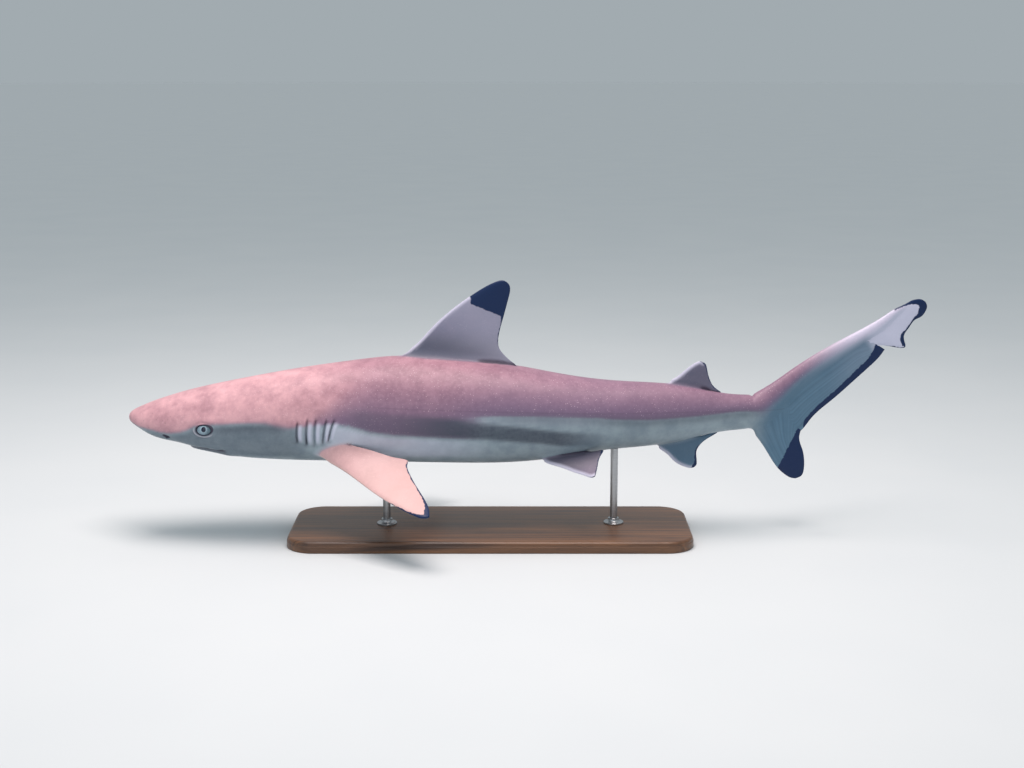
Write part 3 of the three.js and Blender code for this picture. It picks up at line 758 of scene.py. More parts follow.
# On the flank, h along s: the dark back's lower edge, the slate band's upper edge, and behind
# the first dorsal fin the upper edge of the pale wedge that opens over the band.
DARK_LOW = [
    (0, -6), (17, -11.5), (42, -14), (54, -16.5), (74, -17), (88, -14.5), (100, -10.5),
    (112, -4), (140, -0.5), (190, 3), (225, 5), (262, -1), (300, 1), (331, 4), (351, 2),
    (390, -8.5), (424, -13), (520, -19), (563, -22), (650, -32), (683, -38), (760, -42),
]
BAND_HIGH = [
    (330, 26), (375, 24), (413, 18), (433, 17), (520, 11), (563, 4), (607, -1), (650, -8),
    (683, -13), (760, -20),
]
WEDGE_HIGH = [
    (500, 14), (520, 16), (563, 15.5), (607, 14), (650, 12.3), (738, 7.7), (762, 4.5), (822, 1),
    (901, 4), (965, 9),
]
LATERAL_LINE = [(340, 32), (450, 27), (600, 21), (750, 14), (900, 11), (991, 9)]
SMOOTHING_ROUNDS = 30
# A point of the joined skin that is further than this from every point before is on a seam.
SEAM_GAP = 0.01 * MM
# Points closer than this along a seam are merged.
SLIVER = 0.4 * MM


def tree_of(points):
    """Points, ready for looking up the nearest of them."""
    tree = kdtree.KDTree(len(points))
    for i, p in enumerate(points):
        tree.insert(p, i)
    tree.balance()
    return tree


def nearest(tree, points):
    """The number of the nearest point in the tree to each point, and how far it is."""
    found = [tree.find(p) for p in points]
    return np.array([f[1] for f in found]), np.array([f[2] for f in found])


def gap_to_edge(p, path):
    """How far each point is from a fin's edge, and the share of the edge where it is nearest."""
    t = np.linspace(0, 1, 160)
    gaps = np.linalg.norm(p[:, None] - path(t)[None], axis=-1)
    return gaps.min(axis=1), t[gaps.argmin(axis=1)]


def unite(target, other):
    """Join two closed objects into the first and remove the second."""
    join = target.modifiers.new("join", "BOOLEAN")
    join.operation, join.solver, join.object = "UNION", "MANIFOLD", other
    joined = target.evaluated_get(bpy.context.evaluated_depsgraph_get())
    mesh = bpy.data.meshes.new_from_object(joined)
    target.modifiers.clear()
    old = target.data
    target.data = mesh
    bpy.data.meshes.remove(old)
    bpy.data.objects.remove(other)


def vertex_vectors(mesh, what="co"):
    """The place of each of a mesh's points, or its normal."""
    flat = np.empty(len(mesh.vertices) * 3)
    mesh.vertices.foreach_get(what, flat)
    return flat.reshape(-1, 3)


def tidy_seams(mesh, on_seam):
    """Merge the slivers that a join leaves along its seam, and split its many-sided faces."""
    work = bmesh.new()
    work.from_mesh(mesh)
    work.verts.ensure_lookup_table()
    seam = [work.verts[i] for i in np.flatnonzero(on_seam)]
    bmesh.ops.remove_doubles(work, verts=seam, dist=SLIVER)
    bmesh.ops.triangulate(work, faces=[face for face in work.faces if len(face.verts) > 4])
    work.to_mesh(mesh)
    work.free()


def joined_skin():
    """The body with all its fins as one object, the fins as (name, side), the number of the fin
    that each point is on or -1, the points of the seams, and the fins' own points and numbers."""
    points, faces = body_mesh()
    skin = mesh_object("skin", place(points), faces)
    sources, fin_of = [place(points)], [np.full(len(points), -1)]
    fins = []
    for name, fin in FINS.items():
        for side in (-1, 1) if name in PAIRED else (1,):
            points, faces = fin_mesh(fin, side)
            sources.append(place(points))
            fin_of.append(np.full(len(points), len(fins)))
            fins.append((name, side))
            unite(skin, mesh_object(name, sources[-1], faces))
    sources, fin_of = np.concatenate(sources), np.concatenate(fin_of)
    known = tree_of(sources)
    _, away = nearest(known, vertex_vectors(skin.data))
    tidy_seams(skin.data, away > SEAM_GAP)
    p = vertex_vectors(skin.data)
    near, away = nearest(known, p)
    on_fin = fin_of >= 0
    return skin, fins, fin_of[near], p[away > SEAM_GAP], (sources[on_fin], fin_of[on_fin])


def fillet(skin, fins, fin_of, seam, fin_sources):
    """Smooth the skin along the seams, each as far as its fin's fillet goes. Tell the fin whose
    seam is nearest to each point, and how many millimetres outside it the point is."""
    p = vertex_vectors(skin.data)
    owner = fin_sources[1][nearest(tree_of(fin_sources[0]), seam)[0]]
    near, away = nearest(tree_of(seam), p)
    reach = np.array([PAINTED[name]["reach"] for name, _ in fins])[owner[near]] * MM
    weight = 0.9 * ease(1, 0.3, away / reach)
    for number, (name, side) in enumerate(fins):
        on = np.flatnonzero(fin_of == number)
        gap, _ = gap_to_edge(unplace(p[on]), fin_edges(FINS[name], side)[1])
        weight[on] *= ease(0.5, 6, gap)
    ends = np.empty(len(skin.data.edges) * 2, int)
    skin.data.edges.foreach_get("vertices", ends)
    i, j = ends.reshape(-1, 2).T
    count = np.bincount(ends, minlength=len(p))[:, None]
    for _ in range(SMOOTHING_ROUNDS):
        total = np.zeros_like(p)
        np.add.at(total, i, p[j])
        np.add.at(total, j, p[i])
        p += (total / count - p) * weight[:, None]
    skin.data.vertices.foreach_set("co", p.ravel())
    skin.data.update()
    return owner[near], np.where(fin_of < 0, -away, away) / MM


# ---- markings ----------------------------------------------------------------------------------


# Where along s each marking comes in, from none to full. One that fades has the larger s first.
# Some place painted light and shade rather than markings: shade on the cheek, a shadow line along
# the head, light reflected up behind the gills, paler clouds on the head, and highlights on the
# tail's upper edge and lobes.
SPANS = {
    "wedge": (515, 590), "edge_rises": (450, 600), "back_softens": (270, 400),
    "back_lowers": (380, 270), "back_fades": (440, 800), "band_faint": (335, 380),
    "band_full": (400, 530), "band_ends": (790, 670), "cheek_shade": (-8, 6), "cheek_ends": (310, 255),
    "throat_shadow": (140, 160), "throat_ends": (262, 235), "rear_band": (500, 640),
    "lilac_and_bounce_light": (305, 342), "lilac_ends": (600, 440), "wedge_lilac": (500, 560),
    "wedge_lilac_ends": (900, 760), "tail": (975, 1025), "tail_pink_ends": (1190, 1090),
    "ridge_pale": (1050, 1170), "ridge_widens": (1165, 1205), "lobe_pale": (1080, 1190),
    "snout_pores": (118, 70), "blush_and_light": (400, 240), "lateral_line": (340, 420),
}
# The black's depth where a point is far from any black, in mm.
NO_BLACK = -9.0
# The painted shadow in the crease between a fin's free rear part and the body: where along s it
# comes in. It is left out on faces that look down more steeply than CREASE_FACES.
CREASE_SHADOWS = {
    "first_dorsal": (545, 560), "second_dorsal": (900, 912), "pectoral": (338, 362),
    "pelvic": (668, 690),
}
CREASE_FACES = -0.3


def span(name, s):
    """How far a marking has come in at s."""
    return ease(*SPANS[name], s)


def flank_tones(s, h):
    """How much of the back's colour the flank has; how much of the back's pink, painted light from
    above, rather than the flank's mauve, painted shade; and how much slate: the band itself,
    painted shade on the cheek, and a painted shadow line under the head's dark edge.
    """
    low, band_high = read_line(DARK_LOW, s), read_line(BAND_HIGH, s)
    wedge_high = read_line(WEDGE_HIGH, s)
    dark = ease(low - 6 - 9 * hump(s - 245, 26), low + 6, h)
    wedge = span("wedge", s) * ease(wedge_high + 4, wedge_high - 4, h)
    # The upper share: the back's pink on top is painted light from above, and the mauve it turns to
    # down the flank is painted shade.
    edge = low + (wedge_high - low) * span("edge_rises", s)
    share = (h - edge) / (0.9 * back_line(np.minimum(s, SNOUT_TO_PIT)) - edge)
    softness = 0.35 + 0.75 * span("back_softens", s)
    upper = ease(0, softness, share + 0.2 * span("back_lowers", s))
    upper = upper * (1 - 0.55 * span("back_fades", s))
    band = (0.35 * span("band_faint", s) + 0.65 * span("band_full", s)) * span("band_ends", s)
    band = band * ease(band_high + 7, band_high - 5, h) * ease(low - 5, low + 5, h)
    # Painted shade on the cheek below the dark edge, and a painted shadow line just under that edge
    # along the head.
    cheek_shade = 0.62 * span("cheek_shade", s) * span("cheek_ends", s) * ease(low + 5, low - 9, h)
    cheek_shade = cheek_shade * ease(-64, -46, h)
    cheek_shade = cheek_shade + 0.25 * hump(h - low + 7, 7) * span("throat_shadow", s) * span("throat_ends", s)
    rear = 0.45 * hump(h - wedge_high + 3, 9) + 0.15 * ease(wedge_high + 2, wedge_high - 4, h)
    rear = rear * span("rear_band", s)
    return dark * (1 - wedge), upper, np.maximum.reduce([band, cheek_shade, rear])


def tail_height(s, h):
    """Height above the tail's fleshy axis, as a share of its half height."""
    steps = 200
    axis_s, axis_h, tall = tail_axis(np.linspace(0, 1, steps)).T[:3]
    near = np.searchsorted(axis_s, s).clip(0, steps - 1)
    return (h - axis_h[near]) / np.maximum(tall[near], 7)


def body_fields(p, fin_of):
    """The painted fields of the head, the trunk and the tail, before the fins' own colours."""
    s, y, h = p.T
    low, wedge_high = read_line(DARK_LOW, s), read_line(WEDGE_HIGH, s)
    back, upper, band = flank_tones(s, h)
    in_mouth, lips = mouth_offset(s, y), mouth_window(y, h)
    # Painted shadow on the lower jaw, just inside the mouth's line, under the upper jaw's edge.
    shade_under_jaw = 0.5 * lips * ease(-0.5, 1, in_mouth) * ease(9, 2, in_mouth)
    # Lilac under the dark edge behind the gills, partly painted light reflected up from the
    # pectoral fin, and the pale wedge's own faint lilac.
    lilac_and_bounce_light = 0.5 * span("lilac_and_bounce_light", s) * span("lilac_ends", s) * ease(low - 1, low - 9, h)
    on_wedge = hump(h - wedge_high + 7, 8)
    lilac_and_bounce_light += 0.1 * span("wedge_lilac", s) * span("wedge_lilac_ends", s) * on_wedge
    pale_and_highlight = np.maximum(0.75 * gill_profile(s, h)[2], lilac_and_bounce_light * ease(-66, -46, h))
    pale_and_highlight = pale_and_highlight * ease(45, 58, np.abs(y))
    # On the tail: the web below the axis takes the fins' blue-grey, partly painted shade; pink
    # along the upper side is painted light; and the pale ridge along the top is a painted
    # highlight.
    in_tail, above = span("tail", s), tail_height(s, h)
    back += (ease(-1.2, 0.4, above) - back) * in_tail
    upper += (0.4 * ease(-0.2, 1.1, above) * span("tail_pink_ends", s) - upper) * in_tail
    pale_from = -1.9 - 12 * span("ridge_widens", s)
    lit_ridge = 0.9 * span("ridge_pale", s) * ease(pale_from, 0.6, above)
    return {
        "back": back, "upper": upper, "band": band * (1 - in_tail),
        "web": ease(0.6, -0.9, above) * in_tail, "pale_and_highlight": np.maximum(pale_and_highlight, lit_ridge),
        # Painted shade: round the eyes and in their sockets, in the gill slits and the nostril,
        # under the upper jaw, and later in the fins' creases.
        "painted_shade": np.maximum(relief_and_shadow(p)[1], shade_under_jaw),
        "ink": np.full(len(p), NO_BLACK), "ray": np.zeros(len(p)), "warm": np.zeros(len(p)),
        "snout": span("snout_pores", s) * ease(-45, -38, h), "blush_and_light": span("blush_and_light", s),
        "lid": lid_pale(s, h) * ease(40, 48, np.abs(y)), "mouth": in_mouth, "lips": lips,
        "lateral": h - read_line(LATERAL_LINE, s), "pored": span("lateral_line", s) * (fin_of < 0),
    }


def black_depth(painted, q, front, rear):
    """How many millimetres points are inside a fin's black. For each edge there is how far the
    points are from it, and where along it."""
    depth = [
        read_line(painted[edge], share) - gap
        for edge, (gap, share) in (("front", front), ("rear", rear))
    ]
    if painted["past"]:
        patch = [(q - point) @ np.array(inward) for point, inward in painted["past"]]
        depth.append(np.min(patch, axis=0))
    return np.max(depth, axis=0)


def paint_fin(field, on, name, s, past_seam, faces_up, front):
    """Blend a fin's own colours into the fields, at the points on it and beside it."""
    painted, (front_gap, front_share) = PAINTED[name], front
    tone = np.full(len(on), float(painted["tone"]))
    if name in PAIRED:
        tone *= ease(-0.75, -0.25, faces_up)
    low_pale, high_pale = painted["pale_and_highlight"]
    # Paler further out; the pale along the front edge is painted highlight.
    pale = low_pale + (high_pale - low_pale) * ease(0.15, 0.75, front_share)
    pale = np.maximum(pale, 0.85 * ease(7, 2, front_gap)) * np.minimum(tone + 0.7, 1)
    # The band here is painted shade on the fin's foot, slate like the flank's band.
    own_colours = {
        "back": tone, "upper": tone * painted["upper"], "web": painted["web"], "pale_and_highlight": pale,
        "warm": painted.get("warm", 0), "band": painted["shade"] * ease(55, 20, past_seam),
    }
    share = ease(-6, 8, past_seam + painted["spread"])
    for layer, value in own_colours.items():
        field[layer][on] += (value - field[layer][on]) * share
    # Painted shadow in the crease under the fin's free rear part.
    if name in CREASE_SHADOWS:
        crease = 0.95 * hump(past_seam - 0.8, 4.4) * ease(*CREASE_SHADOWS[name], s)
        field["painted_shade"][on] = np.maximum(field["painted_shade"][on], crease * (faces_up > CREASE_FACES))


def paint_fields(skin, fins, fin_of, near_fin, past_seam):
    """The skin's painted fields, one number of each at every point of the mesh."""
    p = unplace(vertex_vectors(skin.data))
    faces_up = vertex_vectors(skin.data, "normal")[:, 2]
    s = p[:, 0]
    field = body_fields(p, fin_of)
    for number, (name, side) in enumerate(fins):
        painted, lobe = PAINTED[name], name.endswith("lobe")
        own = fin_of == number
        if lobe:
            beside = s > SNOUT_TO_PIT - 1
        else:
            beside = (near_fin == number) & (past_seam > -6 - painted["spread"])
        on = np.flatnonzero(own | (fin_of < 0) & beside)
        q = p[on] * (1, side, 1)
        front, rear = [gap_to_edge(q, edge) for edge in fin_edges(FINS[name], 1)]
        field["ink"][on] = np.maximum(field["ink"][on], black_depth(painted, q, front, rear))
        if lobe:
            across = front[0] / (front[0] + rear[0] + 1e-6)
            field["ray"][on] = np.where(own[on], across, field["ray"][on])
            # The lobes' pale further out is painted highlight, strongest on the terminal lobe.
            pale = painted["pale_and_highlight"][1] * span("lobe_pale", s[on])
            field["pale_and_highlight"][on] = np.maximum(field["pale_and_highlight"][on], pale * own[on])
        else:
            paint_fin(field, on, name, s[on], past_seam[on], faces_up[on], front)
    return field


def keep_fields(piece, fields):
    """Store numbers for each point of a piece, for its material to read by name."""
    for name, values in fields.items():
        layer = piece.data.attributes.new(name, "FLOAT", "POINT")
        layer.data.foreach_set("value", np.asarray(values, np.float32))


# ---- materials ---------------------------------------------------------------------------------


def linear(hex_colour):
    """A colour given as sRGB hex, as the linear numbers that a shader takes."""
    channels = [int(hex_colour[i : i + 2], 16) / 255 for i in (1, 3, 5)]
    return (*[c / 12.92 if c <= 0.04045 else ((c + 0.055) / 1.055) ** 2.4 for c in channels], 1)


def add_node(tree, kind, inputs=None, out=0, **settings):
    """Add a shader node and give one of its outputs. An input is a value, or another output."""
    made = tree.nodes.new("ShaderNode" + kind)
    for name, value in settings.items():
        setattr(made, name, value)
    for name, value in (inputs or {}).items():
        if isinstance(value, bpy.types.NodeSocket):
            tree.links.new(value, made.inputs[name])
        else:
            made.inputs[name].default_value = value
    return made.outputs[out]


def new_material(name, **surface_values):
    """A material with its principled surface's fixed values set; its tree and its surface."""
    made = bpy.data.materials.new(name)
    made.use_nodes = True
    surface_node = made.node_tree.nodes["Principled BSDF"]
    for socket, value in surface_values.items():
        surface_node.inputs[socket.replace("_", " ")].default_value = value
    return made, made.node_tree, surface_node


def dress(tree, surface_node, **made_by):
    """Link sockets of the surface to the nodes' outputs that make them."""
    for socket, output in made_by.items():
        tree.links.new(output, surface_node.inputs[socket.replace("_", " ")])


# The colour mixer's inputs, and settings that several nodes share.
FACTOR, FIRST, SECOND = 0, 6, 7
MIXER = {"out": 2, "data_type": "RGBA"}
SMOOTH = {"interpolation_type": "SMOOTHSTEP"}
TIMES, PLUS = {"operation": "MULTIPLY"}, {"operation": "ADD"}

BACK_DARK, BACK_LIGHT, BACK_DUST, FRECKLE = "#8d6574", "#a67c8a", "#ba939f", "#e8d0d8"
# The flank's mauve is painted shade below the back's pink, which is painted light from above; the
# blush is partly painted light.
SHADED_FLANK_DARK, SHADED_FLANK_LIGHT, BLUSH_AND_LIGHT = "#6a5872", "#806c86", "#e4b3b8"
# The belly's blue-grey is painted shade, darker than the real white belly. The slate is the flank's
# band, and also painted shade on the cheek and at the fins' feet.
BELLY_SHADE, BELLY_LIGHT, SLATE = "#8798a3", "#9dadb6", "#3f4856"
# The fins' blue-grey is partly painted shade on their upright faces.
FIN_DARK, FIN_LIGHT = "#3a617c", "#4a718c"
# The pale tints: partly the fins' own pale, partly painted highlight.
PALE_AND_HIGHLIGHT, PALE_WARM_AND_HIGHLIGHT = "#dcdbf0", "#e4c0b9"
# The second is the dark of the painted shade in folds and creases, and of the thin marks: the
# mouth's painted shadow, the lateral line and the snout's pores.
INK, SHADE_AND_MARKS, LID = "#00214c", "#2b2238", "#c3bfca"


def back_colour(tree, field, where, clouds, cloudy, mottle):
    """The back: pink-brown with dust and freckles, its pink partly painted light from above, paler
    clouds on the head partly so too, turning mauve down the flank as painted shade.
    """
    back = add_node(
        tree, "Mix", {FACTOR: cloudy, FIRST: linear(BACK_DARK), SECOND: linear(BACK_LIGHT)}, **MIXER
    )
    dust = add_node(
        tree, "MapRange", {"Value": mottle, "From Min": 0.4, "From Max": 0.8, "To Max": 0.45},
        **SMOOTH,
    )
    back = add_node(tree, "Mix", {FACTOR: dust, FIRST: back, SECOND: linear(BACK_DUST)}, **MIXER)
    # Paler pink clouds on the head: partly its own colour, partly painted light.
    blush_and_light = add_node(tree, "Math", {0: field["blush_and_light"], 1: clouds}, **TIMES)
    back = add_node(tree, "Mix", {FACTOR: blush_and_light, FIRST: back, SECOND: linear(BLUSH_AND_LIGHT)}, **MIXER)
    # The mauve flank, painted shade, under the back's pink, painted light.
    shaded_flank = add_node(
        tree, "Mix", {FACTOR: mottle, FIRST: linear(SHADED_FLANK_DARK), SECOND: linear(SHADED_FLANK_LIGHT)},
        **MIXER,
    )
    back = add_node(tree, "Mix", {FACTOR: field["upper"], FIRST: shaded_flank, SECOND: back}, **MIXER)
    # Pale freckles 1.4 mm across about 3.6 mm apart, fewer where the clouding is dark.
    cells = {"Vector": where, "Scale": 1 / 0.0036}
    spot = add_node(tree, "TexVoronoi", cells, "Distance")
    spot = add_node(tree, "MapRange", {"Value": spot, "From Min": 0.22, "From Max": 0.1}, **SMOOTH)
    chance = add_node(tree, "TexVoronoi", cells, "Color")
    chance = add_node(
        tree, "MapRange", {"Value": chance, "From Min": 0.1, "From Max": 0.7, "To Max": 0.8}
    )
    for fewer in (chance, clouds):
        spot = add_node(tree, "Math", {0: spot, 1: fewer}, **TIMES)
    return add_node(tree, "Mix", {FACTOR: spot, FIRST: back, SECOND: linear(FRECKLE)}, **MIXER)


def fin_colour(tree, field, colour, ragged):
    """Fins over the colour so far: greyer and bluer than the back, partly painted shade on their
    upright faces; slate painted shade at the foot, like the flank's band; and pale where they thin,
    partly painted highlight. Some 14 rays streak the tail faintly."""
    rays = add_node(
        tree, "TexNoise", {"W": field["ray"], "Scale": 14.0, "Detail": 1.0}, noise_dimensions="1D"
    )
    rays = add_node(tree, "MapRange", {"Value": rays, "From Min": 0.25, "From Max": 0.75}, **SMOOTH)
    fin = add_node(
        tree, "Mix", {FACTOR: rays, FIRST: linear(FIN_DARK), SECOND: linear(FIN_LIGHT)}, **MIXER
    )
    web = add_node(tree, "Math", {0: field["web"], 1: 0.85}, **TIMES)
    band = add_node(tree, "Math", {0: ragged, 1: field["band"]}, **TIMES)
    band = add_node(tree, "Math", {0: field["band"], 1: band}, **PLUS)
    band = add_node(tree, "Math", {0: band, 1: 0.9}, **TIMES)
    pale_and_highlight = add_node(tree, "Math", {0: field["pale_and_highlight"], 1: 0.8}, **TIMES)
    pale = add_node(
        tree, "Mix", {FACTOR: field["warm"], FIRST: linear(PALE_AND_HIGHLIGHT), SECOND: linear(PALE_WARM_AND_HIGHLIGHT)},
        **MIXER,
    )
    for share, tint in ((web, fin), (band, linear(SLATE)), (pale_and_highlight, pale)):
        colour = add_node(tree, "Mix", {FACTOR: share, FIRST: colour, SECOND: tint}, **MIXER)
    return colour


def thin_marks(tree, field, where, colour):
    """The lower lid's pale fold, the thin dark marks, one of them the mouth's painted shadow, and
    the painted shade of the folds, over the colour so far.
    """
    lid = add_node(tree, "Math", {0: field["lid"], 1: 0.7}, **TIMES)
    colour = add_node(tree, "Mix", {FACTOR: lid, FIRST: colour, SECOND: linear(LID)}, **MIXER)
    # The lateral line's pores run together into a faint line 2 mm wide, the mouth's line is painted
    # shade 2 mm wide in its groove, and the snout has 0.9 mm pores about 5 mm apart. For each mark:
    # its distance, where it is none and full, how dark it is, and the field that bounds it.
    line = add_node(tree, "Math", {0: field["lateral"]}, operation="ABSOLUTE")
    mouth = add_node(tree, "Math", {0: field["mouth"]}, operation="ABSOLUTE")
    pore = add_node(tree, "TexVoronoi", {"Vector": where, "Scale": 1 / 0.0052}, "Distance")
    marks = []
    for distance, none, full, most, within in (
        (line, 1.8, 0.3, 0.12, "pored"), (mouth, 1.7, 0.4, 0.85, "lips"),
        (pore, 0.17, 0.07, 0.4, "snout"),
    ):
        mark = add_node(
            tree, "MapRange",
            {"Value": distance, "From Min": none, "From Max": full, "To Max": most}, **SMOOTH,
        )
        marks.append(add_node(tree, "Math", {0: mark, 1: field[within]}, **TIMES))
    # The painted shade in the skin's folds and creases.
    painted_shade = add_node(
        tree, "MapRange", {"Value": field["painted_shade"], "From Min": 0.1, "To Max": 0.9}, **SMOOTH
    )
    for mark in (*marks, painted_shade):
        colour = add_node(tree, "Mix", {FACTOR: mark, FIRST: colour, SECOND: linear(SHADE_AND_MARKS)}, **MIXER)
    return colour


def sharkskin():
    """Shark hide: bone-hard denticles under a thin wet film. Their ridges break the shine up, so it
    is matt and even to the eye. The back is dusty and finely freckled, the belly pale, and the
    fins' tips are solid black. Light and shade are painted in too: the back's pink on top and the
    flank's mauve, shade in the folds and creases, on the cheek, at the fins' feet and over the
    belly, and highlights on the pale fins, their edges and the tail."""
    skin, tree, surface_node = new_material(
        "sharkskin", Coat_Weight=0.12, Coat_Roughness=0.3, Specular_IOR_Level=0.3
    )
    field = {
        name: add_node(tree, "Attribute", out="Fac", attribute_name=name)
        for name in (
            "back", "upper", "blush_and_light", "band", "ink", "web", "pale_and_highlight", "warm", "painted_shade", "ray",
            "snout", "lid", "mouth", "lips", "lateral", "pored",
        )
    }
    where = add_node(tree, "TexCoord", out="Object")
    # Clouding of the back, 26 mm across, finer mottling of 6 mm, and the grain of the denticles,
    # which is 0.3 mm on the real skin and drawn 1.3 mm so that it shows.
    clouds, mottle, grain = [
        add_node(
            tree, "TexNoise",
            {"Vector": where, "Scale": 1 / across, "Detail": detail, "Roughness": roughness},
        )
        for across, detail, roughness in ((0.026, 4.0, 0.6), (0.006, 4.0, 0.65), (0.0013, 2.0, 0.5))
    ]
    cloudy = add_node(
        tree, "MapRange", {"Value": clouds, "From Min": 0.3, "From Max": 0.7}, **SMOOTH
    )
    back = back_colour(tree, field, where, clouds, cloudy, mottle)

    # The belly, its blue-grey darkened as painted shade, with an edge that the mottling makes
    # ragged.
    belly = add_node(
        tree, "Mix", {FACTOR: cloudy, FIRST: linear(BELLY_SHADE), SECOND: linear(BELLY_LIGHT)},
        **MIXER,
    )
    ragged = add_node(
        tree, "MapRange", {"Value": mottle, "From Min": 0.0, "To Min": -0.18, "To Max": 0.18}
    )
    above = add_node(tree, "Math", {0: field["back"], 1: ragged}, **PLUS)
    above = add_node(
        tree, "MapRange", {"Value": above, "From Min": 0.05, "From Max": 0.95}, **SMOOTH
    )
    colour = add_node(tree, "Mix", {FACTOR: above, FIRST: belly, SECOND: back}, **MIXER)
    colour = fin_colour(tree, field, colour, ragged)
    colour = thin_marks(tree, field, where, colour)

    # Black tips, with an edge that wanders by 1.5 mm.
    wander = add_node(
        tree, "MapRange", {"Value": mottle, "From Min": 0.0, "To Min": -3.0, "To Max": 3.0}
    )
    ink = add_node(tree, "Math", {0: field["ink"], 1: wander}, **PLUS)
    ink = add_node(tree, "MapRange", {"Value": ink, "From Min": -0.8, "From Max": 0.7}, **SMOOTH)
    colour = add_node(tree, "Mix", {FACTOR: ink, FIRST: colour, SECOND: linear(INK)}, **MIXER)

    rough = add_node(
        tree, "MapRange",
        {"Value": mottle, "From Min": 0.3, "From Max": 0.7, "To Min": 0.44, "To Max": 0.56},
    )
    relief = add_node(tree, "Math", {0: grain, 1: mottle}, **PLUS)
    bump = add_node(tree, "Bump", {"Height": relief, "Strength": 0.35, "Distance": 0.0005})
    dress(tree, surface_node, Base_Color=colour, Roughness=rough, Normal=bump)
    return skin


# The iris is lighter in front, partly painted highlight, and darker behind, partly painted shade.
IRIS_LIT_FRONT, IRIS_SHADED_BACK, IRIS_DARK = "#8ba4b4", "#5e7684", "#42545f"
IRIS_HIGHLIGHT, IRIS_RIM, PUPIL_BLACK = "#aac2d0", "#1a2026", "#020e2c"


def glass_eye():
    """Blown glass eye, painted behind and clear in front: a hard wet gloss over a silvery iris with
    fine fibres, lighter in front and bright round the pupil as painted highlights, a dark ring at
    its rim and an upright pupil."""
    eye, tree, surface_node = new_material(
        "glass_eye", Roughness=0.25, Specular_IOR_Level=0.1, Coat_Weight=1.0, Coat_Roughness=0.03
    )
    back_share, from_pupil, from_rim = [
        add_node(tree, "Attribute", out="Fac", attribute_name=name)
        for name in ("back_share", "from_pupil", "from_rim")
    ]
    fibre = add_node(tree, "Attribute", out="Vector", attribute_name="fibre")
    streaks = add_node(
        tree, "TexNoise", {"Vector": fibre, "Scale": 1.0, "Detail": 3.0, "Roughness": 0.6}
    )
    iris = add_node(
        tree, "Mix", {FACTOR: back_share, FIRST: linear(IRIS_LIT_FRONT), SECOND: linear(IRIS_SHADED_BACK)},
        **MIXER,
    )
    # From the fibres outwards over the iris: each ring's colour, what it follows, and from where to
    # where it comes in. The bright ring round the pupil is a painted highlight.
    for tint, follows, none, full, most in (
        (IRIS_DARK, streaks, 0.35, 0.7, 0.5),
        (IRIS_HIGHLIGHT, from_pupil, 2.0, 1.1, 0.5),
        (IRIS_RIM, from_rim, 0.84, 1.0, 1.0),
        (PUPIL_BLACK, from_pupil, 1.08, 0.96, 1.0),
    ):
        share = add_node(
            tree, "MapRange",
            {"Value": follows, "From Min": none, "From Max": full, "To Max": most}, **SMOOTH,
        )
        iris = add_node(tree, "Mix", {FACTOR: share, FIRST: iris, SECOND: linear(tint)}, **MIXER)
    dress(tree, surface_node, Base_Color=iris)
    return eye


WALNUT_DARK, WALNUT_LIGHT, WALNUT_PORE = "#3a2418", "#7c5537", "#241610"


def oiled_walnut():
    """Walnut, planed and oiled: brown with darker growth bands along the board and short pores,
    under a low satin lustre."""
    wood, tree, surface_node = new_material("oiled_walnut", Coat_Weight=0.2, Coat_Roughness=0.3)
    where = add_node(tree, "TexCoord", out="Object")
    # Growth bands 9 mm apart across the board and 250 mm long, bent by slow noise.
    bands = add_node(tree, "Mapping", {"Vector": where, "Scale": (4, 110, 60)})
    bands = add_node(
        tree, "TexNoise", {"Vector": bands, "Scale": 1.0, "Detail": 4.0, "Distortion": 0.8}
    )
    shade = add_node(tree, "MapRange", {"Value": bands, "From Min": 0.3, "From Max": 0.72})
    # Pores: 0.3 mm on the real board, drawn 0.8 mm wide and 12 mm long so that they show.
    pores = add_node(tree, "Mapping", {"Vector": where, "Scale": (80, 1250, 1250)})
    pores = add_node(tree, "TexNoise", {"Vector": pores, "Scale": 1.0, "Detail": 2.0})
    mark = add_node(
        tree, "MapRange", {"Value": pores, "From Min": 0.62, "From Max": 0.7, "To Max": 0.55}
    )
    colour = add_node(
        tree, "Mix", {FACTOR: shade, FIRST: linear(WALNUT_DARK), SECOND: linear(WALNUT_LIGHT)},
        **MIXER,
    )
    colour = add_node(
        tree, "Mix", {FACTOR: mark, FIRST: colour, SECOND: linear(WALNUT_PORE)}, **MIXER
    )
    rough = add_node(tree, "MapRange", {"Value": bands, "To Min": 0.36, "To Max": 0.5})
    bump = add_node(tree, "Bump", {"Height": pores, "Strength": 0.25, "Distance": 0.0003})
    dress(tree, surface_node, Base_Color=colour, Roughness=rough, Normal=bump)
    return wood


STEEL_DARK, STEEL_LIGHT = "#8f9194", "#c4c6c8"


def brushed_steel():
    """Stainless steel, turned and then brushed round: a bright neutral grey with fine rings that
    draw its highlights out sideways."""
    steel, tree, surface_node = new_material("brushed_steel", Metallic=1.0)
    where = add_node(tree, "TexCoord", out="Object")
    # Brush marks: 0.1 mm on the real rod, drawn 0.6 mm apart so that they show.
    rings = add_node(tree, "Mapping", {"Vector": where, "Scale": (60, 60, 1600)})
    rings = add_node(tree, "TexNoise", {"Vector": rings, "Scale": 1.0, "Detail": 3.0})
    colour = add_node(
        tree, "Mix", {FACTOR: rings, FIRST: linear(STEEL_DARK), SECOND: linear(STEEL_LIGHT)},
        **MIXER,
    )
    rough = add_node(tree, "MapRange", {"Value": rings, "To Min": 0.24, "To Max": 0.42})
    bump = add_node(tree, "Bump", {"Height": rings, "Strength": 0.2, "Distance": 0.0001})
    dress(tree, surface_node, Base_Color=colour, Roughness=rough, Normal=bump)
    return steel


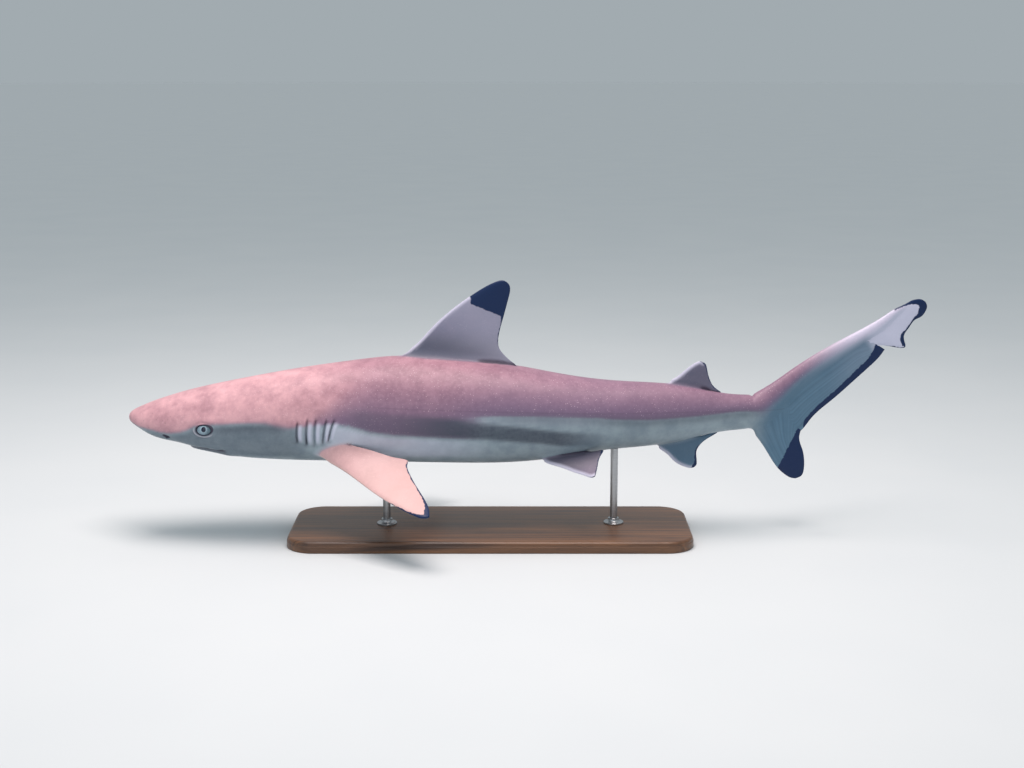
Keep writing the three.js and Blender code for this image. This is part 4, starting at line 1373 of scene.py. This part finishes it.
PAPER_SHADE, PAPER_LIGHT = "#c6cdd1", "#ccd2d5"


def studio_paper():
    """Seamless photographer's paper: matt, pale and even, with a faint cloudiness 300 mm across."""
    paper, tree, surface_node = new_material("studio_paper", Roughness=0.9)
    where = add_node(tree, "TexCoord", out="Object")
    cloud = add_node(tree, "TexNoise", {"Vector": where, "Scale": 1 / 0.3, "Detail": 2.0})
    colour = add_node(
        tree, "Mix", {FACTOR: cloud, FIRST: linear(PAPER_SHADE), SECOND: linear(PAPER_LIGHT)},
        **MIXER,
    )
    dress(tree, surface_node, Base_Color=colour)
    return paper


# ---- eyes --------------------------------------------------------------------------------------

EYE_RINGS, EYE_POINTS = 40, 64
# The iris fibres: how many waves of their noise go round the pupil's edge, and out from it.
FIBRES_ROUND, FIBRES_OUT = 9, 0.6


def eyeball(name, side):
    """A flattened ball behind the lids, with its painted fields."""
    middle, axis = eye_axis(side)
    back = np.array([1.0, 0, 0]) - axis * axis[0]
    back /= np.linalg.norm(back)
    up = np.cross(axis, back) * -side
    up = up if up[2] > 0 else -up
    sizes = EYEBALL["half_length"], EYEBALL["half_height"], EYEBALL["depth"]
    tilt = np.pi * (np.arange(1, EYE_RINGS) / EYE_RINGS)
    way = full_turn(EYE_POINTS)
    u = sizes[0] * np.sin(tilt)[:, None] * np.cos(way)
    v = sizes[1] * np.sin(tilt)[:, None] * np.sin(way)
    w = sizes[2] * np.cos(tilt)[:, None] * np.ones(EYE_POINTS)
    u, v, w = (np.concatenate([[0], a.ravel(), [0]]) for a in (u, v, w))
    w[0], w[-1] = sizes[2], -sizes[2]
    centre = middle + axis * (EYEBALL["proud"] - sizes[2])
    points = centre + u[:, None] * back + v[:, None] * up + w[:, None] * axis
    rows = ring_numbers(EYE_RINGS - 1, EYE_POINTS, first=1)
    faces = stitch_all(rows) + fan(rows[0], 0) + fan(rows[-1], len(points) - 1)
    ball = mesh_object(name, place(points), faces)
    pupil_u, pupil_v = u - PUPIL["back"], v - PUPIL["up"]
    angle = np.arctan2(pupil_v, pupil_u)
    from_pupil = np.hypot(pupil_u / PUPIL["half_width"], pupil_v / PUPIL["half_height"])
    keep_fields(ball, {
        "from_pupil": from_pupil,
        "from_rim": np.hypot(u / EYE["half_length"], v / EYE["half_height"]),
        "back_share": ease(-3, 6, u),
    })
    fibre = ball.data.attributes.new("fibre", "FLOAT_VECTOR", "POINT")
    fibre.data.foreach_set("vector", np.stack([
        np.cos(angle) * FIBRES_ROUND, np.sin(angle) * FIBRES_ROUND, from_pupil * FIBRES_OUT
    ], -1).ravel())
    return ball


# ---- stand -------------------------------------------------------------------------------------

ARC_STEPS = 12
ROUND_POINTS = 64
# Edges that turn more than this stay crisp.
CRISP_EDGE = math.radians(28)


def lathe(name, middle, profile):
    """A turned piece standing at the middle (x, y), from (radius, z) pairs in metres."""
    way = full_turn(ROUND_POINTS)
    ring = np.stack([np.cos(way), np.sin(way)], -1)
    return stacked(name, [
        np.column_stack([ring * radius + middle, np.full(ROUND_POINTS, z)])
        for radius, z in profile
    ])


def stacked(name, rings):
    """A closed piece from a stack of rings of points, its ends filled."""
    rows = ring_numbers(len(rings), len(rings[0]))
    faces = [*stitch_all(rows), rows[0][::-1], rows[-1]]
    made = mesh_object(name, np.concatenate(rings), faces)
    made.data.set_sharp_from_angle(angle=CRISP_EDGE)
    return made


def board(name, low, high, corner, profile):
    """A board with rounded corners, its moulded edge given as (inset, height) pairs."""
    rings = []
    for inset, z in profile:
        ring = []
        for quarter, (x_way, y_way) in enumerate([(1, 1), (-1, 1), (-1, -1), (1, -1)]):
            x = (high[0] if x_way > 0 else low[0]) - x_way * corner
            y = (high[1] if y_way > 0 else low[1]) - y_way * corner
            for i in range(ARC_STEPS + 1):
                angle = (quarter + i / ARC_STEPS) * math.pi / 2
                radius = corner - inset
                ring.append((x + radius * math.cos(angle), y + radius * math.sin(angle), z))
        rings.append(np.array(ring))
    return stacked(name, rings)


def arc(radius, steps):
    """Points of a quarter-round moulding, as (out, up) pairs."""
    angles = np.radians(np.linspace(0, 90, steps + 1))
    return [(radius * math.cos(a), radius * math.sin(a)) for a in angles]


BOARD_CORNER = 45 * MM
ROD_RADIUS = 6 * MM
COLLAR_RADIUS = 16 * MM


def stand_board():
    """The board: a small bevel at its foot, and a quarter-round moulding over a narrow step."""
    low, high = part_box("stand_base")
    top = high[2]
    foot, moulding = 1 * MM, 5 * MM
    step, step_low, step_high = 0.8 * MM, 2.6 * MM, 3 * MM
    profile = [(foot, low[2]), (0, low[2] + foot), (0, top - 2 * moulding + step_low)]
    profile += [(step, top - 2 * moulding + step_high)]
    profile += [(step + moulding - out, top - moulding + up) for out, up in arc(moulding, 8)]
    return board("stand_board", low, high, BOARD_CORNER, profile)


def stand_rod(which):
    """A turned rod with a chamfered head under the belly."""
    low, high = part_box(f"stand_rod_{which}")
    middle = ((low[0] + high[0]) / 2, (low[1] + high[1]) / 2)
    chamfer = 0.8 * MM
    profile = [(ROD_RADIUS, low[2]), (ROD_RADIUS, high[2] - chamfer)]
    profile += [(ROD_RADIUS - chamfer, high[2])]
    return lathe(f"stand_post_{which}", middle, profile)


def stand_collar(which):
    """A turned foot collar: a flat flange, a cove up to a short neck, and a rounded lip."""
    low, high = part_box(f"stand_collar_{which}")
    middle = ((low[0] + high[0]) / 2, (low[1] + high[1]) / 2)
    inner = ROD_RADIUS + 0.15 * MM
    flange, neck, lip, bevel = 2.6 * MM, ROD_RADIUS + 2.8 * MM, 0.6 * MM, 0.4 * MM
    cove = high[2] - low[2] - flange - 2 * lip
    profile = [(inner, low[2]), (COLLAR_RADIUS - bevel, low[2])]
    profile += [(COLLAR_RADIUS, low[2] + bevel), (COLLAR_RADIUS, low[2] + flange - lip)]
    profile += [(COLLAR_RADIUS - lip, low[2] + flange)]
    profile += [
        (neck + cove - out * cove, low[2] + flange + cove - up * cove)
        for out, up in [(math.sin(a), math.cos(a)) for a in np.linspace(0, math.pi / 2, 7)]
    ][1:]
    profile += [(neck, high[2] - lip), (neck - lip, high[2]), (inner, high[2])]
    return lathe(f"stand_foot_{which}", middle, profile)


# ---- the model ---------------------------------------------------------------------------------

FLESH = [
    "snout", "head", "lower_jaw", "gill_region", "trunk_front", "trunk_rear", "tail_stalk",
    "caudal_upper_lobe", "caudal_terminal_lobe", "caudal_lower_lobe", "first_dorsal_fin",
    "second_dorsal_fin", "anal_fin", "pectoral_fin_left", "pectoral_fin_right",
    "pelvic_fin_left", "pelvic_fin_right",
]


def finish_piece(piece, material, slot, *nodes):
    """Give a piece its material and body, and hide the nodes it stands for. Slot is not used."""
    piece.data.materials.clear()
    piece.data.materials.append(material)
    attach(piece, "root")
    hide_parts(*nodes)


skin, fins, fin_of, seam, fin_sources = joined_skin()
near_fin, past_seam = fillet(skin, fins, fin_of, seam, fin_sources)
keep_fields(skin, paint_fields(skin, fins, fin_of, near_fin, past_seam))
skin.data.shade_smooth()
finish_piece(skin, sharkskin(), "skin", *FLESH)

eye_glass = glass_eye()
for side, name in ((-1, "left"), (1, "right")):
    finish_piece(eyeball(f"eyeball_{name}", side), eye_glass, "eye", f"eye_{name}")

steel = brushed_steel()
finish_piece(stand_board(), oiled_walnut(), "stand_wood", "stand_base")
for which in ("front", "rear"):
    finish_piece(stand_rod(which), steel, "stand_steel", f"stand_rod_{which}")
    finish_piece(stand_collar(which), steel, "stand_steel", f"stand_collar_{which}")

# ---- studio ------------------------------------------------------------------------------------

FRAME_WIDTH, SENSOR_WIDTH = 1024, 36
CAMERA_TARGET = Vector((-26.7, 0, 247.2)) * MM
CAMERA_DISTANCE = 2.5
CAMERA_ELEVATION = math.radians(11.5)
FOCAL_PIXELS = 1579.3
FLOOR_RADIUS, FLOOR_POINTS = 60, 96
# The lamps: where each hangs, its aim, its width and height, its power in watts and its tint.
SOFTBOXES = {
    "overhead": ((-0.2, -0.25, 2.2), (0, 0, 0.25), (1.8, 1.0), 55, "#fff0ea"),
    "front_fill": ((-1.2, -2.6, 1.0), (0, 0, 0.2), (1.6, 1.6), 5, "#eef4ff"),
}
# The sky's height, as the sine of its elevation, where it starts to brighten and is brightest.
HORIZON_TOP, OVERHEAD_FROM = 0.08, 0.85
HORIZON, OVERHEAD = "#a2abb0", "#d3d7d9"


def floor():
    """A wide sheet of paper under the model."""
    way = full_turn(FLOOR_POINTS)
    rim = np.stack([np.cos(way), np.sin(way), np.zeros(FLOOR_POINTS)], -1) * FLOOR_RADIUS
    mesh = bpy.data.meshes.new("floor")
    mesh.from_pydata(rim.tolist(), [], [list(range(FLOOR_POINTS))])
    mesh.materials.append(studio_paper())
    add_object("floor", mesh)


def sky():
    """Light that is bright overhead and falls to the floor's own tone at the horizon."""
    world = bpy.data.worlds.new("studio")
    world.use_nodes = True
    tree = world.node_tree
    way = add_node(tree, "TexCoord", out="Generated")
    height = add_node(tree, "SeparateXYZ", {"Vector": way}, "Z")
    share = add_node(
        tree, "MapRange",
        {"Value": height, "From Min": HORIZON_TOP, "From Max": OVERHEAD_FROM}, **SMOOTH,
    )
    colour = add_node(
        tree, "Mix", {FACTOR: share, FIRST: linear(HORIZON), SECOND: linear(OVERHEAD)}, **MIXER
    )
    tree.links.new(colour, tree.nodes["Background"].inputs["Color"])
    bpy.context.scene.world = world


def softbox(name, position, aim, size, power, colour):
    """A rectangular lamp, turned towards its aim."""
    lamp = bpy.data.lights.new(name, "AREA")
    lamp.shape, lamp.size, lamp.size_y = "RECTANGLE", *size
    lamp.energy, lamp.color = power, linear(colour)[:3]
    light = add_object(name, lamp)
    light.location = position
    light.rotation_euler = (Vector(aim) - Vector(position)).to_track_quat("-Z", "Y").to_euler()


def studio():
    """Floor, sky, lamps and a camera level with the fish, looking slightly down."""
    scene = bpy.context.scene
    floor()
    sky()
    for name, lamp in SOFTBOXES.items():
        softbox(name, *lamp)
    scene.view_settings.view_transform = "Standard"
    lens = bpy.data.cameras.new("camera")
    lens.sensor_width = SENSOR_WIDTH
    lens.lens = FOCAL_PIXELS * SENSOR_WIDTH / FRAME_WIDTH
    lens.clip_end = 100
    camera = add_object("camera", lens)
    back = Vector((0, -math.cos(CAMERA_ELEVATION), math.sin(CAMERA_ELEVATION)))
    camera.location = CAMERA_TARGET + back * CAMERA_DISTANCE
    camera.rotation_euler = (math.pi / 2 - CAMERA_ELEVATION, 0, 0)
    scene.camera = camera


studio()

bpy.context.view_layer.update()
